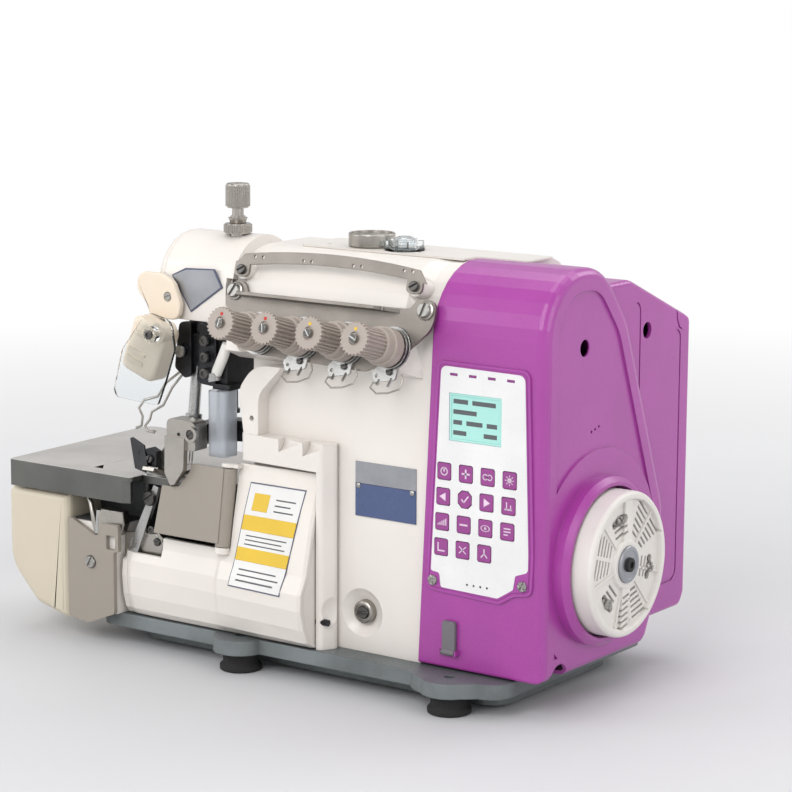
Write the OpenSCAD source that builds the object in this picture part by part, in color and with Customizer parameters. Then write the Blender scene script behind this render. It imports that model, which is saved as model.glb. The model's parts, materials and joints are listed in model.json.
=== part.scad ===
// Overlock sewing machine head on its sunk base plate.
// X runs to the right along the arm, Y to the back, Z up. The origin is the middle of the four
// cushion bolts, at the level on which the cushions stand. Most modules are written from the
// datum corner, where the column's front meets the control housing on top of the base plate.

/* [Base] */
// Height of the rubber cushions under the lugs
cushion_h = 12; // [11:0.5:20]
// Thickness of the base plate
base_t = 9; // [7:1:14]
// Bolt spacing along the arm
bolt_dx = 155; // [145:1:160]
// Bolt spacing from front to back
bolt_dy = 160; // [155:1:170]
// Radius of the bolt holes through lugs and cushions
bolt_r = 3.3; // [2.5:0.1:4.5]

/* [Casting] */
// Height of the casting above the base plate
body_h = 236.5; // [234:0.5:240]
// Depth of the casting from front to back
body_d = 95; // [92:1:100]
// Width of the column, from the sewing space to the control housing
column_w = 125; // [123:0.5:127]
// Overhang of the arm beyond the column
arm_over = 11; // [9:0.5:13]
// Length of the round head left of the arm
head_w = 54; // [52:0.5:57]
// Radius of the round top of the head
head_r = 32; // [30:0.5:33]
// Height of the axis of the round top
head_axis_z = 210; // [208:0.5:212]
// Height of the underside of the head
head_z = 190; // [188:0.5:192]
// Height of the surface that carries the cloth
work_h = 91; // [90:0.5:92]
// Angle by which the front of the arm leans back
lean = 16; // [14:0.5:18]
// Height of the lower edge of the leaning front
lean_z = 168; // [167:0.5:169]
// Distance by which the lower edge of the arm overhangs the column
arm_fwd = 16; // [15:0.5:17]

/* [Covers] */
// Wall of the moulded control covers
shell_t = 2.5; // [2:0.1:2.8]
// Width of the control housing
housing_w = 86; // [85:0.5:90]
// Right side of the rear cover
rear_w = 78; // [70:1:82]
// Depth of the rear cover behind the casting
rear_d = 80; // [70:1:90]
// Length of the looper cover along the bed
cover_l = 149; // [148:0.5:150]
// Height of the looper cover
cover_h = 106; // [105:0.5:107]
// Wall of the looper cover
cover_t = 2.6; // [2:0.1:3]
// Thickness of the cloth plate
cloth_t = 3; // [2.5:0.1:4]
// Height of the turned-down front lip of the cloth plate
lip_h = 17; // [14:0.5:17.5]

/* [Drive] */
// Radius of the main shaft
shaft_r = 8; // [6:0.25:9]
// Height of the main shaft above the base plate
shaft_z = 64; // [62:0.5:66]
// Distance of the main shaft behind the front of the column
shaft_y = 57; // [56:0.5:58]
// Radius of the handwheel
wheel_r = 43; // [38:0.5:44]
// Width of the handwheel
wheel_w = 18; // [14:0.5:20]
// Radius of the motor
motor_r = 40; // [30:1:42]

/* [Sewing parts] */
// Radius of the needle bar
needle_bar_r = 3.6; // [3:0.1:4.2]
// Lean of the needle bar from the vertical
needle_lean = 7; // [6:0.5:8]
// Radius of the stem of the presser screw
presser_screw_r = 4.5; // [3.5:0.1:5]
// Distance between the two needles
needle_gap = 2.2; // [1.8:0.1:3]

/* [Thread tension] */
// Place of the leftmost tension knob
knob_x0 = -110; // [-111:0.5:-108]
// Distance between the tension knobs
knob_dx = 32.5; // [31:0.5:33]
// Radius of the fluted barrel of a knob
knob_r = 9; // [7.5:0.1:9.5]
// Length of a knob with its collar
knob_l = 34; // [30:0.5:36]
// Radius of a tension stud
stud_r = 2.5; // [2:0.1:3]
// Number of flutes round a knob
flutes = 24; // [18:1:30]

/* [Control panel] */
// Width of a key
key_w = 9; // [7:0.1:10.5]
// Height of a key
key_h = 9.7; // [8:0.1:11]
// Travel of a key
key_travel = 0.5; // [0.3:0.05:0.6]
// Distance between the columns of keys
key_dx = 15; // [13.5:0.1:15.2]
// Distance between the rows of keys
key_dz = 15; // [13.5:0.1:15.4]

/* [Hidden] */
$fn = 64;
run = 0.05;       // radial running clearance of pins and shafts
gap = 0.4;        // gap between neighbouring parts
eps = 0.01;       // overshoot of a cut
far = 400;        // longer than the machine
arc_n = 6;        // points in a rounded corner

// Placement of the datum corner
bolt_mid = [-47.5, 66];
base_top = cushion_h + base_t;

// Casting
col_x = -column_w;
arm_x = col_x - arm_over;
head_x = arm_x - head_w;
head_y = head_r - 7;                     // axis of the round top
head_front = head_y - head_r;
bed_x = -256;
bed_top = work_h - 5;
bed_front = -22;
tail_w = 40;
chamber_y = 7;
shoulder_z = 125;
cover_top_z = cover_h + 2.5;
frame_fwd = 13.5;
frame_x = -57;
cover_x1 = -68;
cover_x0 = cover_x1 - cover_l;
bed_wall_x = cover_x0 - 1.4;               // left wall of the looper chamber
top_plate_z = body_h;
top_plate_t = 1.2;
cap_at = [-71, 47];
cap_r = 14.2;
dome_at = [-44, 43];

// Front covers
hinge_y = -11;
hinge_z = 17;
hinge_r = 2;
chip_x = -134.5;
chip_h = 48;
chip_lean = 8;
chip_r = 5;
chip_low = 55;
chip_pin_r = 1.5;

// Cloth plate
cloth_x0 = -303;
cloth_x1 = -241.6;
cloth_front = -28;
cloth_back = 112;
cloth_pivot = [-292, 98];
cloth_pin_r = 3.5;
plate_front = -16;
lip_t = 3;

// Sewing parts
needle_x = -172;
needle_y = -5.5;                         // at the level of the cloth
bar_top = (head_axis_z + 14 - work_h) / cos(needle_lean);
foot_pivot = [-112, 124];                // x and z of the presser arm's axis
foot_pin_r = 3;
upper_pin = [-206, 30];                 // x and z of the looper shafts
lower_pin = [-150, 26];
looper_pin_r = 4;
feed_slots = [-186, -179, -165, -158];
feed_y = [5, 21];
feed_stroke = 2;
knife_post = [-146, -8.5];
knife_post_r = 3;
screw_x = -153;
screw_y = 20;
nut_top = body_h + 11.9;
lamp_at = [-189, 174];                   // x and z of the lamp box
lamp_knob = [-176, 184];                 // x and z of the stud of the eye guard

// Thread tension
arm_low_s = 8;                           // lower edge of the arm up the leaning front
knob_s = 20;                             // height of the studs up the leaning front
plate_t = 2;
ear_x = [-134, 6];                       // ears of the tension plate
ear_s = 44;
ear_r = 6.5;
guide_x = [-130, -3];                    // bosses of the upper thread guide
guide_s = 57;
disc_d = 5;                              // thickness of the stack of discs
knobs = [for (i = [0:3]) knob_x0 + i * knob_dx];

// Control housing
seam_lean = 2.63;                        // lean of the seam between the casting and the housing
house_y = -3;                            // front of the control housing
house_top = body_h + 3;
housing_profile = [[house_y, 1, 2], [115, 1, 10], [134, 40, 30], [134, 85, 25],
    [88, house_top - 36.5, 60], [60, house_top - 3.5, 35], [house_y, house_top, 39]];
wheel_x = housing_w + 3;
collar_w = 9;
panel_t = 1.2;
key_x0 = 18.5;
key_z0 = 118.5;
key_proud = 0.3;
key_t = 1.8;
lcd = [21.5, 137, 36, 28];               // x, z, width and height of the window
usb = [18.5, 9.5, 9, 20.5];              // x, z, width and height of the socket cover
usb_pin_r = 0.8;
usb_pin = [house_y - 2.2, usb[1] + 1.8]; // y and z of the flap's axis

// ---------------------------------------------------------------- geometry helpers

function unit(v) = v / norm(v);
function wrap(a) = a > 180 ? a - 360 : a < -180 ? a + 360 : a;
function flat(p) = [p[0], p[1]];

// Points of the arc that rounds corner p, which lies between a and b.
function corner(a, p, b, r, n) = r <= 0 ? [p] :
    let (u = unit(a - p), v = unit(b - p), half = acos(u * v) / 2,
         c = p + unit(u + v) * (r / sin(half)), s = p + u * (r / tan(half)) - c,
         e = p + v * (r / tan(half)) - c, a0 = atan2(s[1], s[0]),
         turn = wrap(atan2(e[1], e[0]) - a0))
    [for (i = [0:n]) c + r * [cos(a0 + turn * i / n), sin(a0 + turn * i / n)]];

// Outline of a list of corners [x, y, radius].
function rounded(pts, n = arc_n) = let (k = len(pts))
    [for (i = [0:k - 1]) each corner(flat(pts[(i + k - 1) % k]), flat(pts[i]),
        flat(pts[(i + 1) % k]), pts[i][2] == undef ? 0 : pts[i][2], n)];

// The same corners moved inwards by d; the outline runs anticlockwise.
function inset(pts, d) = let (k = len(pts))
    [for (i = [0:k - 1])
        let (a = flat(pts[(i + k - 1) % k]), p = flat(pts[i]), b = flat(pts[(i + 1) % k]),
             e1 = unit(p - a), e2 = unit(b - p), n1 = [-e1[1], e1[0]], n2 = [-e2[1], e2[0]],
             q = p + (n1 + n2) * d / (1 + n1 * n2), side = e1[0] * e2[1] - e1[1] * e2[0])
        [q[0], q[1], max(0.2, (pts[i][2] == undef ? 0 : pts[i][2]) - sign(side) * d)]];

// Solid through rings of points, each ring with as many points as the next. A band's rings run down
// one edge and back up the other.
module loft(rings, turn = false, band = false) {
    n = len(rings[0]);
    m = len(rings);
    sides = [for (j = [0:m - 2], i = [0:n - 1])
        let (a = j * n + i, b = j * n + (i + 1) % n)
        each (turn ? [[a, b, a + n], [b, b + n, a + n]] : [[a, a + n, b + n], [a, b + n, b]])];
    // a band's ends are closed strip by strip, from its outer to its inner edge
    cap = band ? [for (i = [0:n / 2 - 2]) [i, i + 1, n - 2 - i, n - 1 - i]] : [[for (i = [0:n - 1]) i]];
    back = [for (c = cap) [for (k = [len(c) - 1:-1:0]) c[k]]];
    cap0 = turn ? back : cap;
    cap1 = [for (c = turn ? cap : back) [for (i = c) (m - 1) * n + i]];
    polyhedron([for (r = rings) each r], concat(cap0, sides, cap1), convexity = 8);
}

// Depths and setbacks of a rounded edge of radius r, from the face inwards.
function edge_steps(r, n = 4) = r <= 0 ? [[0, 0]] :
    [for (i = [0:n]) [r * (1 - sin(90 * i / n)), r * (1 - cos(90 * i / n))]];

// Solid with outline pts in Y and Z from x0 to x1, with end edges rounded by r0 and r1.
module pillow_x(pts, x0, x1, r0, r1, n = arc_n) {
    a = [for (s = edge_steps(r0)) [s[0], x0 + s[1]]];
    b = edge_steps(r1);
    loft([for (s = concat(a, [for (i = [len(b) - 1:-1:0]) [b[i][0], x1 - b[i][1]]]))
        [for (p = rounded(inset(pts, s[0]), n)) [s[1], p[0], p[1]]]]);
}

// Solid with outline pts in X and Z from y0 to y1, with end edges rounded by r0 and r1.
module pillow_y(pts, y0, y1, r0, r1, n = arc_n) {
    a = [for (s = edge_steps(r0)) [s[0], y0 + s[1]]];
    b = edge_steps(r1);
    loft([for (s = concat(a, [for (i = [len(b) - 1:-1:0]) [b[i][0], y1 - b[i][1]]]))
        [for (p = rounded(inset(pts, s[0]), n)) [p[0], s[1], p[1]]]], true);
}

module along_x(x0, x1) { translate([x0, 0, 0]) rotate([90, 0, 90]) linear_extrude(x1 - x0) children(); }
module along_y(y0, y1) { translate([0, y1, 0]) rotate([90, 0, 0]) linear_extrude(y1 - y0) children(); }
module along_z(z0, z1) { translate([0, 0, z0]) linear_extrude(z1 - z0) children(); }
module block(a, b) { translate(a) cube(b - a); }
module rod_x(x0, x1, y, z, r) { translate([x0, y, z]) rotate([0, 90, 0]) cylinder(r = r, h = x1 - x0); }
module rod_y(y0, y1, x, z, r) { translate([x, y1, z]) rotate([90, 0, 0]) cylinder(r = r, h = y1 - y0); }
module rod_z(z0, z1, x, y, r) { translate([x, y, z0]) cylinder(r = r, h = z1 - z0); }
module at_lugs() {
    for (i = [-1, 1], j = [-1, 1])
        translate([bolt_mid[0] + i * bolt_dx / 2, bolt_mid[1] + j * bolt_dy / 2, 0]) children();
}

// From the datum corner to the part's own origin.
module place() { translate([-bolt_mid[0], -bolt_mid[1], base_top]) children(); }

// Frame of the arm's leaning front: x along the arm, y up the slope, z out of it.
module on_front(x = 0, s = 0, d = 0) {
    translate([x, -arm_fwd, lean_z]) rotate([90 - lean, 0, 0]) translate([0, s, d]) children();
}

// Frame of the needle bar: z up its axis from the level of the cloth.
module on_needle() { translate([needle_x, needle_y, work_h]) rotate([-needle_lean, 0, 0]) children(); }

// Frame of the chip cover's barrel: z up its axis from its lower end.
module on_chip() { translate([chip_x, -19, chip_low]) rotate([-chip_lean, 0, 0]) children(); }

// ---------------------------------------------------------------- base

module base_outline() {
    left = -240;
    right = 66;
    polygon(rounded([[left, -17, 14], [right, -17, 14], [right, 150, 14], [left, 150, 14]]));
}

module base_plate() {
    lug_r = 17;
    big_lug_r = 31;
    pan = [[-222, 2], [54, 130]];
    color("slategray") place() difference() {
        union() {
            along_z(-base_t, 0) base_outline();
            translate([0, 0, -base_t]) at_lugs() cylinder(r = lug_r, h = base_t);
            rod_z(-base_t, 0, bolt_mid[0] + bolt_dx / 2 - 2, bolt_mid[1] - bolt_dy / 2 + 17, big_lug_r);
            along_z(-base_t - cushion_h + 2, -base_t + eps)
                polygon(rounded([[pan[0][0], pan[0][1], 16], [pan[1][0], pan[0][1], 16],
                    [pan[1][0], pan[1][1], 16], [pan[0][0], pan[1][1], 16]]));
        }
        at_lugs() rod_z(-far, far, 0, 0, bolt_r);
    }
}

module rubber_cushions() {
    r = 13;
    color("dimgray") place() at_lugs() translate([0, 0, -base_top]) difference() {
        rotate_extrude() polygon(rounded([[0, 0, 0], [r, 0, 1], [r, 3, 0], [r - 2, 5, 0],
            [r - 2, cushion_h - 3, 0], [r - 1, cushion_h, 1], [0, cushion_h, 0]]));
        translate([0, 0, -eps]) cylinder(r = bolt_r, h = cushion_h + 2 * eps);
    }
}

// ---------------------------------------------------------------- casting

// Outline of the arm in Y and Z. The front leans back where lean_in is 1 and stands up where it is 0.
function arm_profile(lean_in) =
    let (low_y = lean_in * (arm_low_s * sin(lean) - arm_fwd) - 0.3, low_z = lean_z + arm_low_s * cos(lean),
         top_y = lean_in * ((body_h - lean_z) * tan(lean) - arm_fwd))
    [[low_y, low_z, 0.2], [0, low_z - 6, 0.2], [body_d, low_z - 6, 0], [body_d, body_h, 25],
     [top_y, body_h, 35 + 2 * (1 - lean_in)]];

function ring_x(x, pts) = [for (p = rounded(pts)) [x, p[0], p[1]]];

function head_profile(d) = concat(
    [[head_front + d, head_z + d]],
    [[head_y + head_r - d, head_z + d]],
    [for (a = [0:7.5:180]) [head_y + (head_r - d) * cos(a), head_axis_z + (head_r - d) * sin(a)]]);

module bed() {
    difference() {
        union() {
            block([bed_x, chamber_y, 0], [col_x + eps, body_d, bed_top]);
            block([bed_x, bed_front, 0], [bed_wall_x, chamber_y + eps, 57]);
        }
        block([bed_wall_x, -far, 6], [col_x, 70, far]);
        block([bed_wall_x, -far, -eps], [col_x, chamber_y + 1, far]);
    }
}

// Turns the upright plane X = 0 into the seam between the casting and the control housing.
module housing_side() { rotate([0, seam_lean, 0]) children(); }

module column() {
    blend_x = -10;
    along_x(col_x, tail_w) polygon([[0, 0], [body_d, 0], [body_d, lean_z + 6], [0, lean_z + 6]]);
    along_x(arm_x, blend_x + eps) polygon(rounded(arm_profile(1)));
    loft([ring_x(blend_x, arm_profile(1)), ring_x(eps, arm_profile(0))]);
    along_x(0, tail_w) polygon(rounded(arm_profile(0)));
}

// Door frame of the looper cover, with the shoulder above it and the rib left of the recess.
module door_frame() {
    rib = [[-123, cover_top_z, 0], [-114, cover_top_z, 0], [-114, 150, 16], [-96, lean_z, 0],
        [-117, lean_z, 20], [-129, 152, 14]];
    along_z(cover_top_z, shoulder_z) polygon(rounded([[col_x - 3, eps, 0], [col_x - 3, -10, 4],
        [cover_x1, -frame_fwd, 0], [frame_x - 7, -frame_fwd, 4], [frame_x, eps, 4]]));
    along_z(0, cover_top_z + eps) polygon(rounded([[cover_x1 + gap, eps, 0],
        [cover_x1 + gap, -frame_fwd, 0], [frame_x - 7, -frame_fwd, 4], [frame_x, eps, 4]]));
    along_y(-10, eps) polygon(rounded(rib));
}

module body_casting() {
    plug = [-43, 24];
    scoop_r = 8;
    color("antiquewhite") place() difference() {
        union() {
            bed();
            column();
            door_frame();
            along_x(head_x, arm_x + eps) polygon(head_profile(0));
            for (x = guide_x) on_front(x, guide_s, -14) cylinder(r = 5.5, h = 17);
        }
        // room for the lower edge of the looper cover as it swings
        block([cover_x0, -far, -eps], [cover_x1 + gap, chamber_y + 1, 46]);
        // room for the motor and the shaft
        rod_x(tail_w - eps, far, shaft_y, shaft_z, motor_r + 2);
        rod_x(col_x - eps, far, shaft_y, shaft_z, shaft_r + run);
        // pocket and pin of the presser arm
        block([col_x - eps, 5, foot_pivot[1] - 10], [foot_pivot[0] + 10, 19, foot_pivot[1] + 22]);
        rod_y(1.5, 26.5, foot_pivot[0], foot_pivot[1], foot_pin_r + run);
        // guides of the needle bar and the presser screw
        on_needle() cylinder(r = needle_bar_r + run, h = bar_top + 3);
        rod_z(head_axis_z - 5, far, screw_x, screw_y, presser_screw_r + run);
        // pivot of the looper cover
        rod_x(cover_x1 - eps, cover_x1 + 8, hinge_y, hinge_z, hinge_r + run);
        rod_x(bed_wall_x - 8, bed_wall_x + eps, hinge_y, hinge_z, hinge_r + run);
        // scoops in the shoulder, the dished recess of the plug and the holes of the studs
        for (x = [-97, -78]) translate([x, -frame_fwd, shoulder_z]) rotate([0, 90, 0])
            cylinder(r1 = scoop_r, r2 = 1, h = 17);
        translate([plug[0], -15, plug[1]]) sphere(r = 21);
        rod_y(-far, 8, plug[0], plug[1], 7);
        for (x = knobs) on_front(x, knob_s, -10) cylinder(r = stud_r + run, h = 20);
        rod_y(-far, 6, -119, 135, 1.6);
        for (p = [upper_pin, lower_pin]) rod_y(60, 78, p[0], p[1], looper_pin_r + run);
        // seat of the tension plate's ear in the edge of the head
        on_front() block([ear_x[0] - ear_r - gap, ear_s - 18, 0], [arm_x + eps, ear_s + ear_r + gap, far]);
        for (p = [cap_at, dome_at]) rod_z(body_h - 14, far, p[0], p[1], 6.5);
        // room for the wall of the control housing
        intersection() {
            housing_side() block([-gap, -far, -far], [far, 42 + gap, far]);
            along_x(-far, far) difference() {
                translate([-far, -far]) square(2 * far);
                polygon(rounded(inset(housing_profile, shell_t + gap)));
            }
        }
    }
}

module face_cover() {
    color("antiquewhite") place() difference() {
        loft([for (s = [[5, 0], [3, 0.8], [1.5, 2.2], [0.4, 4.5], [0.4, 7 - gap]])
            [for (p = head_profile(s[0])) [head_x - 7 + s[1], p[0], p[1]]]]);
        for (y = [head_front + 8, head_y + head_r - 8])
            rod_x(head_x - 8, head_x - 5, y, head_z + 8, 3.4);
    }
}

module arm_top_cover() {
    color("whitesmoke") place() difference() {
        along_z(top_plate_z, top_plate_z + top_plate_t) polygon(rounded([[-113, 29, 6], [8, 29, 1],
            [8, 42 + 2 * gap, 1], [tail_w + 4, 42 + 2 * gap, 3], [tail_w + 4, body_d - 24, 3],
            [-113, body_d - 24, 6]]));
        for (p = [cap_at, dome_at]) rod_z(-far, far, p[0], p[1], 6.5);
        rod_z(-far, far, -98, 41, 1.6);
    }
}

module oil_sight_dome() {
    r = 8;
    flange_r = 12.2;
    wall = 1.2;
    rise = 8.5;
    color([0.85, 0.9, 0.92, 0.5]) place() translate([dome_at[0], dome_at[1], top_plate_z + top_plate_t]) {
        difference() {
            union() {
                cylinder(r = flange_r, h = 1.6);
                rotate_extrude() polygon(rounded([[0, 0, 0], [r, 0, 0], [r, rise, 6], [0, rise, 0]]));
                for (a = [20:72:340]) rotate(a) translate([r + 2, 0, 0]) cylinder(r = 2, h = rise - 2.5);
            }
            translate([0, 0, -eps]) rotate_extrude() polygon(rounded([[0, -1, 0], [r - wall, -1, 0],
                [r - wall, rise - wall, 4.8], [0, rise - wall, 0]]));
        }
        translate([0, 0, -11]) difference() {
            cylinder(r = 6.5 - run, h = 12);
            translate([0, 0, -1]) cylinder(r = 5, h = 20);
        }
    }
}

module oil_filler_cap() {
    h = 8;
    dish = 1.2;
    slot = 2.4;
    color("silver") place() translate([cap_at[0], cap_at[1], top_plate_z + top_plate_t + 0.3]) difference() {
        union() {
            rotate_extrude() polygon(rounded([[0, 0, 0], [cap_r - 0.6, 0, 0], [cap_r, 0.6, 0],
                [cap_r, h, 0.8], [cap_r - 1.6, h, 0.3], [cap_r - 1.6, h - dish, 0.3], [0, h - dish, 0]]));
            translate([0, 0, -12]) cylinder(r = 6.5 - run, h = 13);
        }
        block([-cap_r / 2, -slot / 2, h - dish - 1.2], [cap_r / 2, slot / 2, h]);
    }
}

// ---------------------------------------------------------------- thread tension and guides

module tension_plate() {
    ear = ear_r;
    top = ear_s;
    left = ear_x[0];
    right = ear_x[1];
    rail = [-127, -12];
    rail_d = 10;
    hole_r = 1.3;
    color("lightslategray") place() difference() {
        union() {
            on_front() translate([0, 0, gap]) linear_extrude(plate_t) polygon(rounded([
                [left + 10, 8, 5], [-30, 5, 10], [right - 12, 16, 20], [right + ear, top - 10, 14],
                [right + ear, top + ear, 6], [right - ear, top + ear, 6], [right - ear - 5, top, 3],
                [left + ear + 3, top, 3], [left + ear, top + ear, 6], [left - ear, top + ear, 6],
                [left - ear, top - 6, 8]]));
            on_front() translate([0, top - 3, gap]) rotate([-90, 0, 0]) translate([0, -rail_d - plate_t, 0])
                linear_extrude(2) polygon([[rail[0] - 3, plate_t + rail_d + eps], [rail[0], 2],
                    [rail[0] + 6, 0], [rail[1] - 12, 0], [rail[1] + 3, plate_t + rail_d + eps]]);
        }
        for (x = knobs) on_front(x, knob_s, -10) cylinder(r = stud_r + run, h = 30);
        for (x = [left, right]) on_front(x, top, -10) cylinder(r = 2.2, h = 30);
        for (i = [0:3]) on_front(rail[0] + 8 + i * (rail[1] - rail[0] - 16) / 3, 0, rail_d - 1)
            rotate([-90, 0, 0]) cylinder(r = hole_r, h = far);
    }
}

module tension_posts() {
    disc_r = 13;
    color("gray") place() for (i = [0:3]) {
        on_front(knobs[i], knob_s, 0) {
            translate([0, 0, -8]) cylinder(r = stud_r, h = 8 + gap + plate_t + disc_d + knob_l + 2);
            translate([0, 0, gap + plate_t]) rotate_extrude() polygon([[0, 0], [11, 0], [11, 0.8],
                [disc_r, 0.8], [disc_r, 1.6], [9, 2], [9, 2.8], [disc_r - 0.6, 3.2], [disc_r - 0.6, 4],
                [10, 4], [10, disc_d - gap], [0, disc_d - gap]]);
        }
        if (i > 0) thread_hook(knobs[i]);
    }
}

// Guide below a tension unit: a small plate with an eye and a bent wire.
module thread_hook(x) {
    on_front(x, knob_s, gap + plate_t) {
        difference() {
            linear_extrude(1.6) polygon(rounded([[-8, -20.5, 2], [6, -18, 2], [7, -9, 1], [-6, -9, 1],
                [-11, -15, 2]]));
            translate([-7, -16.5, -1]) cylinder(r = 1.1, h = 4);
        }
        translate([3.5, -17, 0.8]) rotate([60, 0, 0]) cylinder(r = 0.8, h = 6);
        translate([-5, -18.5, 0.8]) rotate([60, 0, 0]) cylinder(r = 0.8, h = 4);
    }
}

function fluted(r, depth, n) = [for (i = [0:n - 1], k = [0:3])
    let (a = 360 / n * (i + [0, 0.35, 0.5, 0.85][k])) (k < 2 ? r : r - depth) * [cos(a), sin(a)]];

module tension_knob(i) {
    collar_l = 8;
    neck_l = 6;
    flange_l = 2.6;
    depth = 0.9;
    color("tan") place() on_front(knobs[i], knob_s, gap + plate_t + disc_d) difference() {
        union() {
            rotate_extrude() polygon(rounded([[0, 0, 0], [knob_r + 2.6, 0, 0.6],
                [knob_r + 2.6, collar_l, 0.8], [knob_r + 1.2, collar_l, 0],
                [knob_r + 1.2, collar_l + neck_l, 0.8], [0, collar_l + neck_l, 0]]));
            linear_extrude(knob_l) polygon(fluted(knob_r, depth, flutes));
            translate([0, 0, knob_l - flange_l]) linear_extrude(flange_l)
                polygon(fluted(knob_r + 0.8, depth, flutes));
        }
        translate([0, 0, -1]) cylinder(r = stud_r + run, h = knob_l + 5);
        translate([0, 0, knob_l - 1]) cylinder(r = stud_r + 1.4, h = 4);
    }
}
module tension_knob_1() { tension_knob(0); }
module tension_knob_2() { tension_knob(1); }
module tension_knob_3() { tension_knob(2); }
module tension_knob_4() { tension_knob(3); }

module upper_thread_guide() {
    d = 3.4;
    t = 1.6;
    x0 = arm_x + 0.6;
    x1 = 5;
    sag = 5;
    band = 7;
    s0 = 59;
    mid = (x0 + x1) / 2;
    color("lightslategray") place() difference() {
        union() {
            on_front(0, 0, d) linear_extrude(t) polygon(concat(
                [for (i = [0:12]) let (x = x0 + (x1 - x0) * i / 12)
                    [x, s0 + sag * (1 - pow((x - mid) / (x1 - mid), 2))]],
                [for (i = [12:-1:0]) let (x = x0 + 6 + (x1 - x0 - 12) * i / 12)
                    [x, s0 + band + sag * (1 - pow((x - mid) / (x1 - mid), 2))]]));
            for (x = guide_x) on_front(x, guide_s, d) linear_extrude(t)
                polygon(rounded([[-5.5, -4, 3], [5.5, -4, 3], [5.5, 5, 1], [-5.5, 5, 1]]));
        }
        for (i = [0:3], k = [-3, 3]) on_front(x0 + 17 + i * 36.5 + k, s0 + band / 2 + 3, 0)
            cylinder(r = 1.1, h = 10);
    }
}

// ---------------------------------------------------------------- bed, covers and hinges

module left_cover() {
    r = 5;
    wall = 3;
    right = bed_x - gap;
    out = [[cloth_x0 - 5, work_h - lip_h - 1, 5], [cloth_x0 - 5, 22, 26], [-285, -2, 12], [-262, -8, 6],
        [right, -8, 1], [right, work_h - lip_h - 1, 1]];
    color("cornsilk") place() difference() {
        pillow_y(out, -25, 100, r, 3);
        pillow_y(inset(out, wall), -25 + wall, 100 - wall, 0, 0);
        block([right - wall - 1, 12, 6], [right + 5, 88, 62]);
        rod_z(50, far, cloth_pivot[0], cloth_pivot[1], cloth_pin_r);
    }
}

module side_plate() {
    t = 3;
    front = bed_front - gap - t;
    right = cover_x0 - 0.8;
    step = right - 12;
    color("tan") place() difference() {
        along_y(front, front + t) polygon(rounded([[bed_x, -6, 4], [step - 10, -8, 3], [right, 0.8, 2],
            [right, 41, 2], [right + 4, 41, 1], [right + 4, 58, 2], [step, 58, 2], [step, 48, 3],
            [bed_x, 60, 3]]));
        along_y(-far, far) polygon(rounded([[step + 6, 42, 1], [right + 1.5, 42, 1], [right + 1.5, 51, 1],
            [step + 6, 51, 1]]));
        rod_y(-far, front + 1, (bed_x + right) / 2, 32, 4.2);
    }
}

module hinge_pins() {
    color("dimgray") place() {
        rod_x(cover_x1 - 5, cover_x1 + 8, hinge_y, hinge_z, hinge_r);
        rod_x(bed_wall_x - 8, cover_x0 + 5, hinge_y, hinge_z, hinge_r);
        rod_z(60, work_h - 0.4, cloth_pivot[0], cloth_pivot[1], cloth_pin_r);
        rod_y(2, 26, foot_pivot[0], foot_pivot[1], foot_pin_r);
    }
}

module cloth_plate() {
    color("gray") place() difference() {
        union() {
            along_z(work_h - cloth_t, work_h) polygon(rounded([[cloth_x0, cloth_front, 4],
                [-201, cloth_front, 3], [-201, plate_front - gap, 1], [cloth_x1, plate_front - gap, 0],
                [cloth_x1, cloth_back, 3], [cloth_x0 - 4, cloth_back, 8]]));
            block([cloth_x0 + 1, cloth_front, work_h - lip_h], [-208, cloth_front + lip_t, work_h - eps]);
            block([cloth_x0, cloth_front + 3, work_h - lip_h + 4], [cloth_x0 + 2.5, cloth_back - 8, work_h - eps]);
            rod_z(work_h - 8, work_h - eps, cloth_pivot[0], cloth_pivot[1], cloth_pin_r + 4);
            translate([-208 + eps, cloth_front, work_h - lip_h])
                linear_extrude(lip_h - eps) polygon([[-eps, 0], [5, 2.5], [5, 5], [-eps, lip_t]]);
        }
        rod_z(-far, work_h + 1, cloth_pivot[0], cloth_pivot[1], cloth_pin_r + run);
    }
}

module needle_plate() {
    slot = 2.4;
    color("lightgray") place() difference() {
        along_z(bed_top + 0.02, work_h) polygon(rounded([[-234, plate_front, 1],
            [-163.4, plate_front, 1], [-163.4, -3, 1], [col_x - gap, -3, 1], [col_x - gap, 78, 1],
            [cloth_x1 + gap, 78, 1], [cloth_x1 + gap, plate_front + 9, 3]]));
        for (x = feed_slots) block([x - slot / 2, feed_y[0] - feed_stroke - 1, 0],
            [x + slot / 2, feed_y[1] + feed_stroke + 1, far]);
        block([needle_x - 3, needle_y - 2.2, 0], [needle_x + 3, needle_y + 2.4, far]);
        for (x = [-234, -148], y = [20, 66]) rod_z(work_h - 1.6, far, x, y, 3.2);
        // clearance under the plate for the needle bar's stroke
        rod_z(0, bed_top + 2.5, needle_x, needle_y, 6);
    }
}

// Section of the looper cover at a station along the bed: inner and outer skin in Y and Z.
function cover_face(k) = [[-9 + k * 2, cover_h], [-13 - 3 * k, 78], [-17.5 - 6.5 * k, 46],
    [-20.5 - 8.5 * k, 36], [-21.5 - 8 * k, 26], [-20.5 - 6 * k, 14], [-18 - 4 * k, 5], [-15, 1]];
function cover_ring(x, k, d) = let (f = cover_face(k))
    concat([for (p = f) [x, p[0] + d, p[1]]],
        [for (i = [len(f) - 1:-1:0]) [x, f[i][0] + d + cover_t + (i == 7 ? 2 : 0),
            f[i][1] + (i == 7 ? 0.6 : 0)]]);

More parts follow.
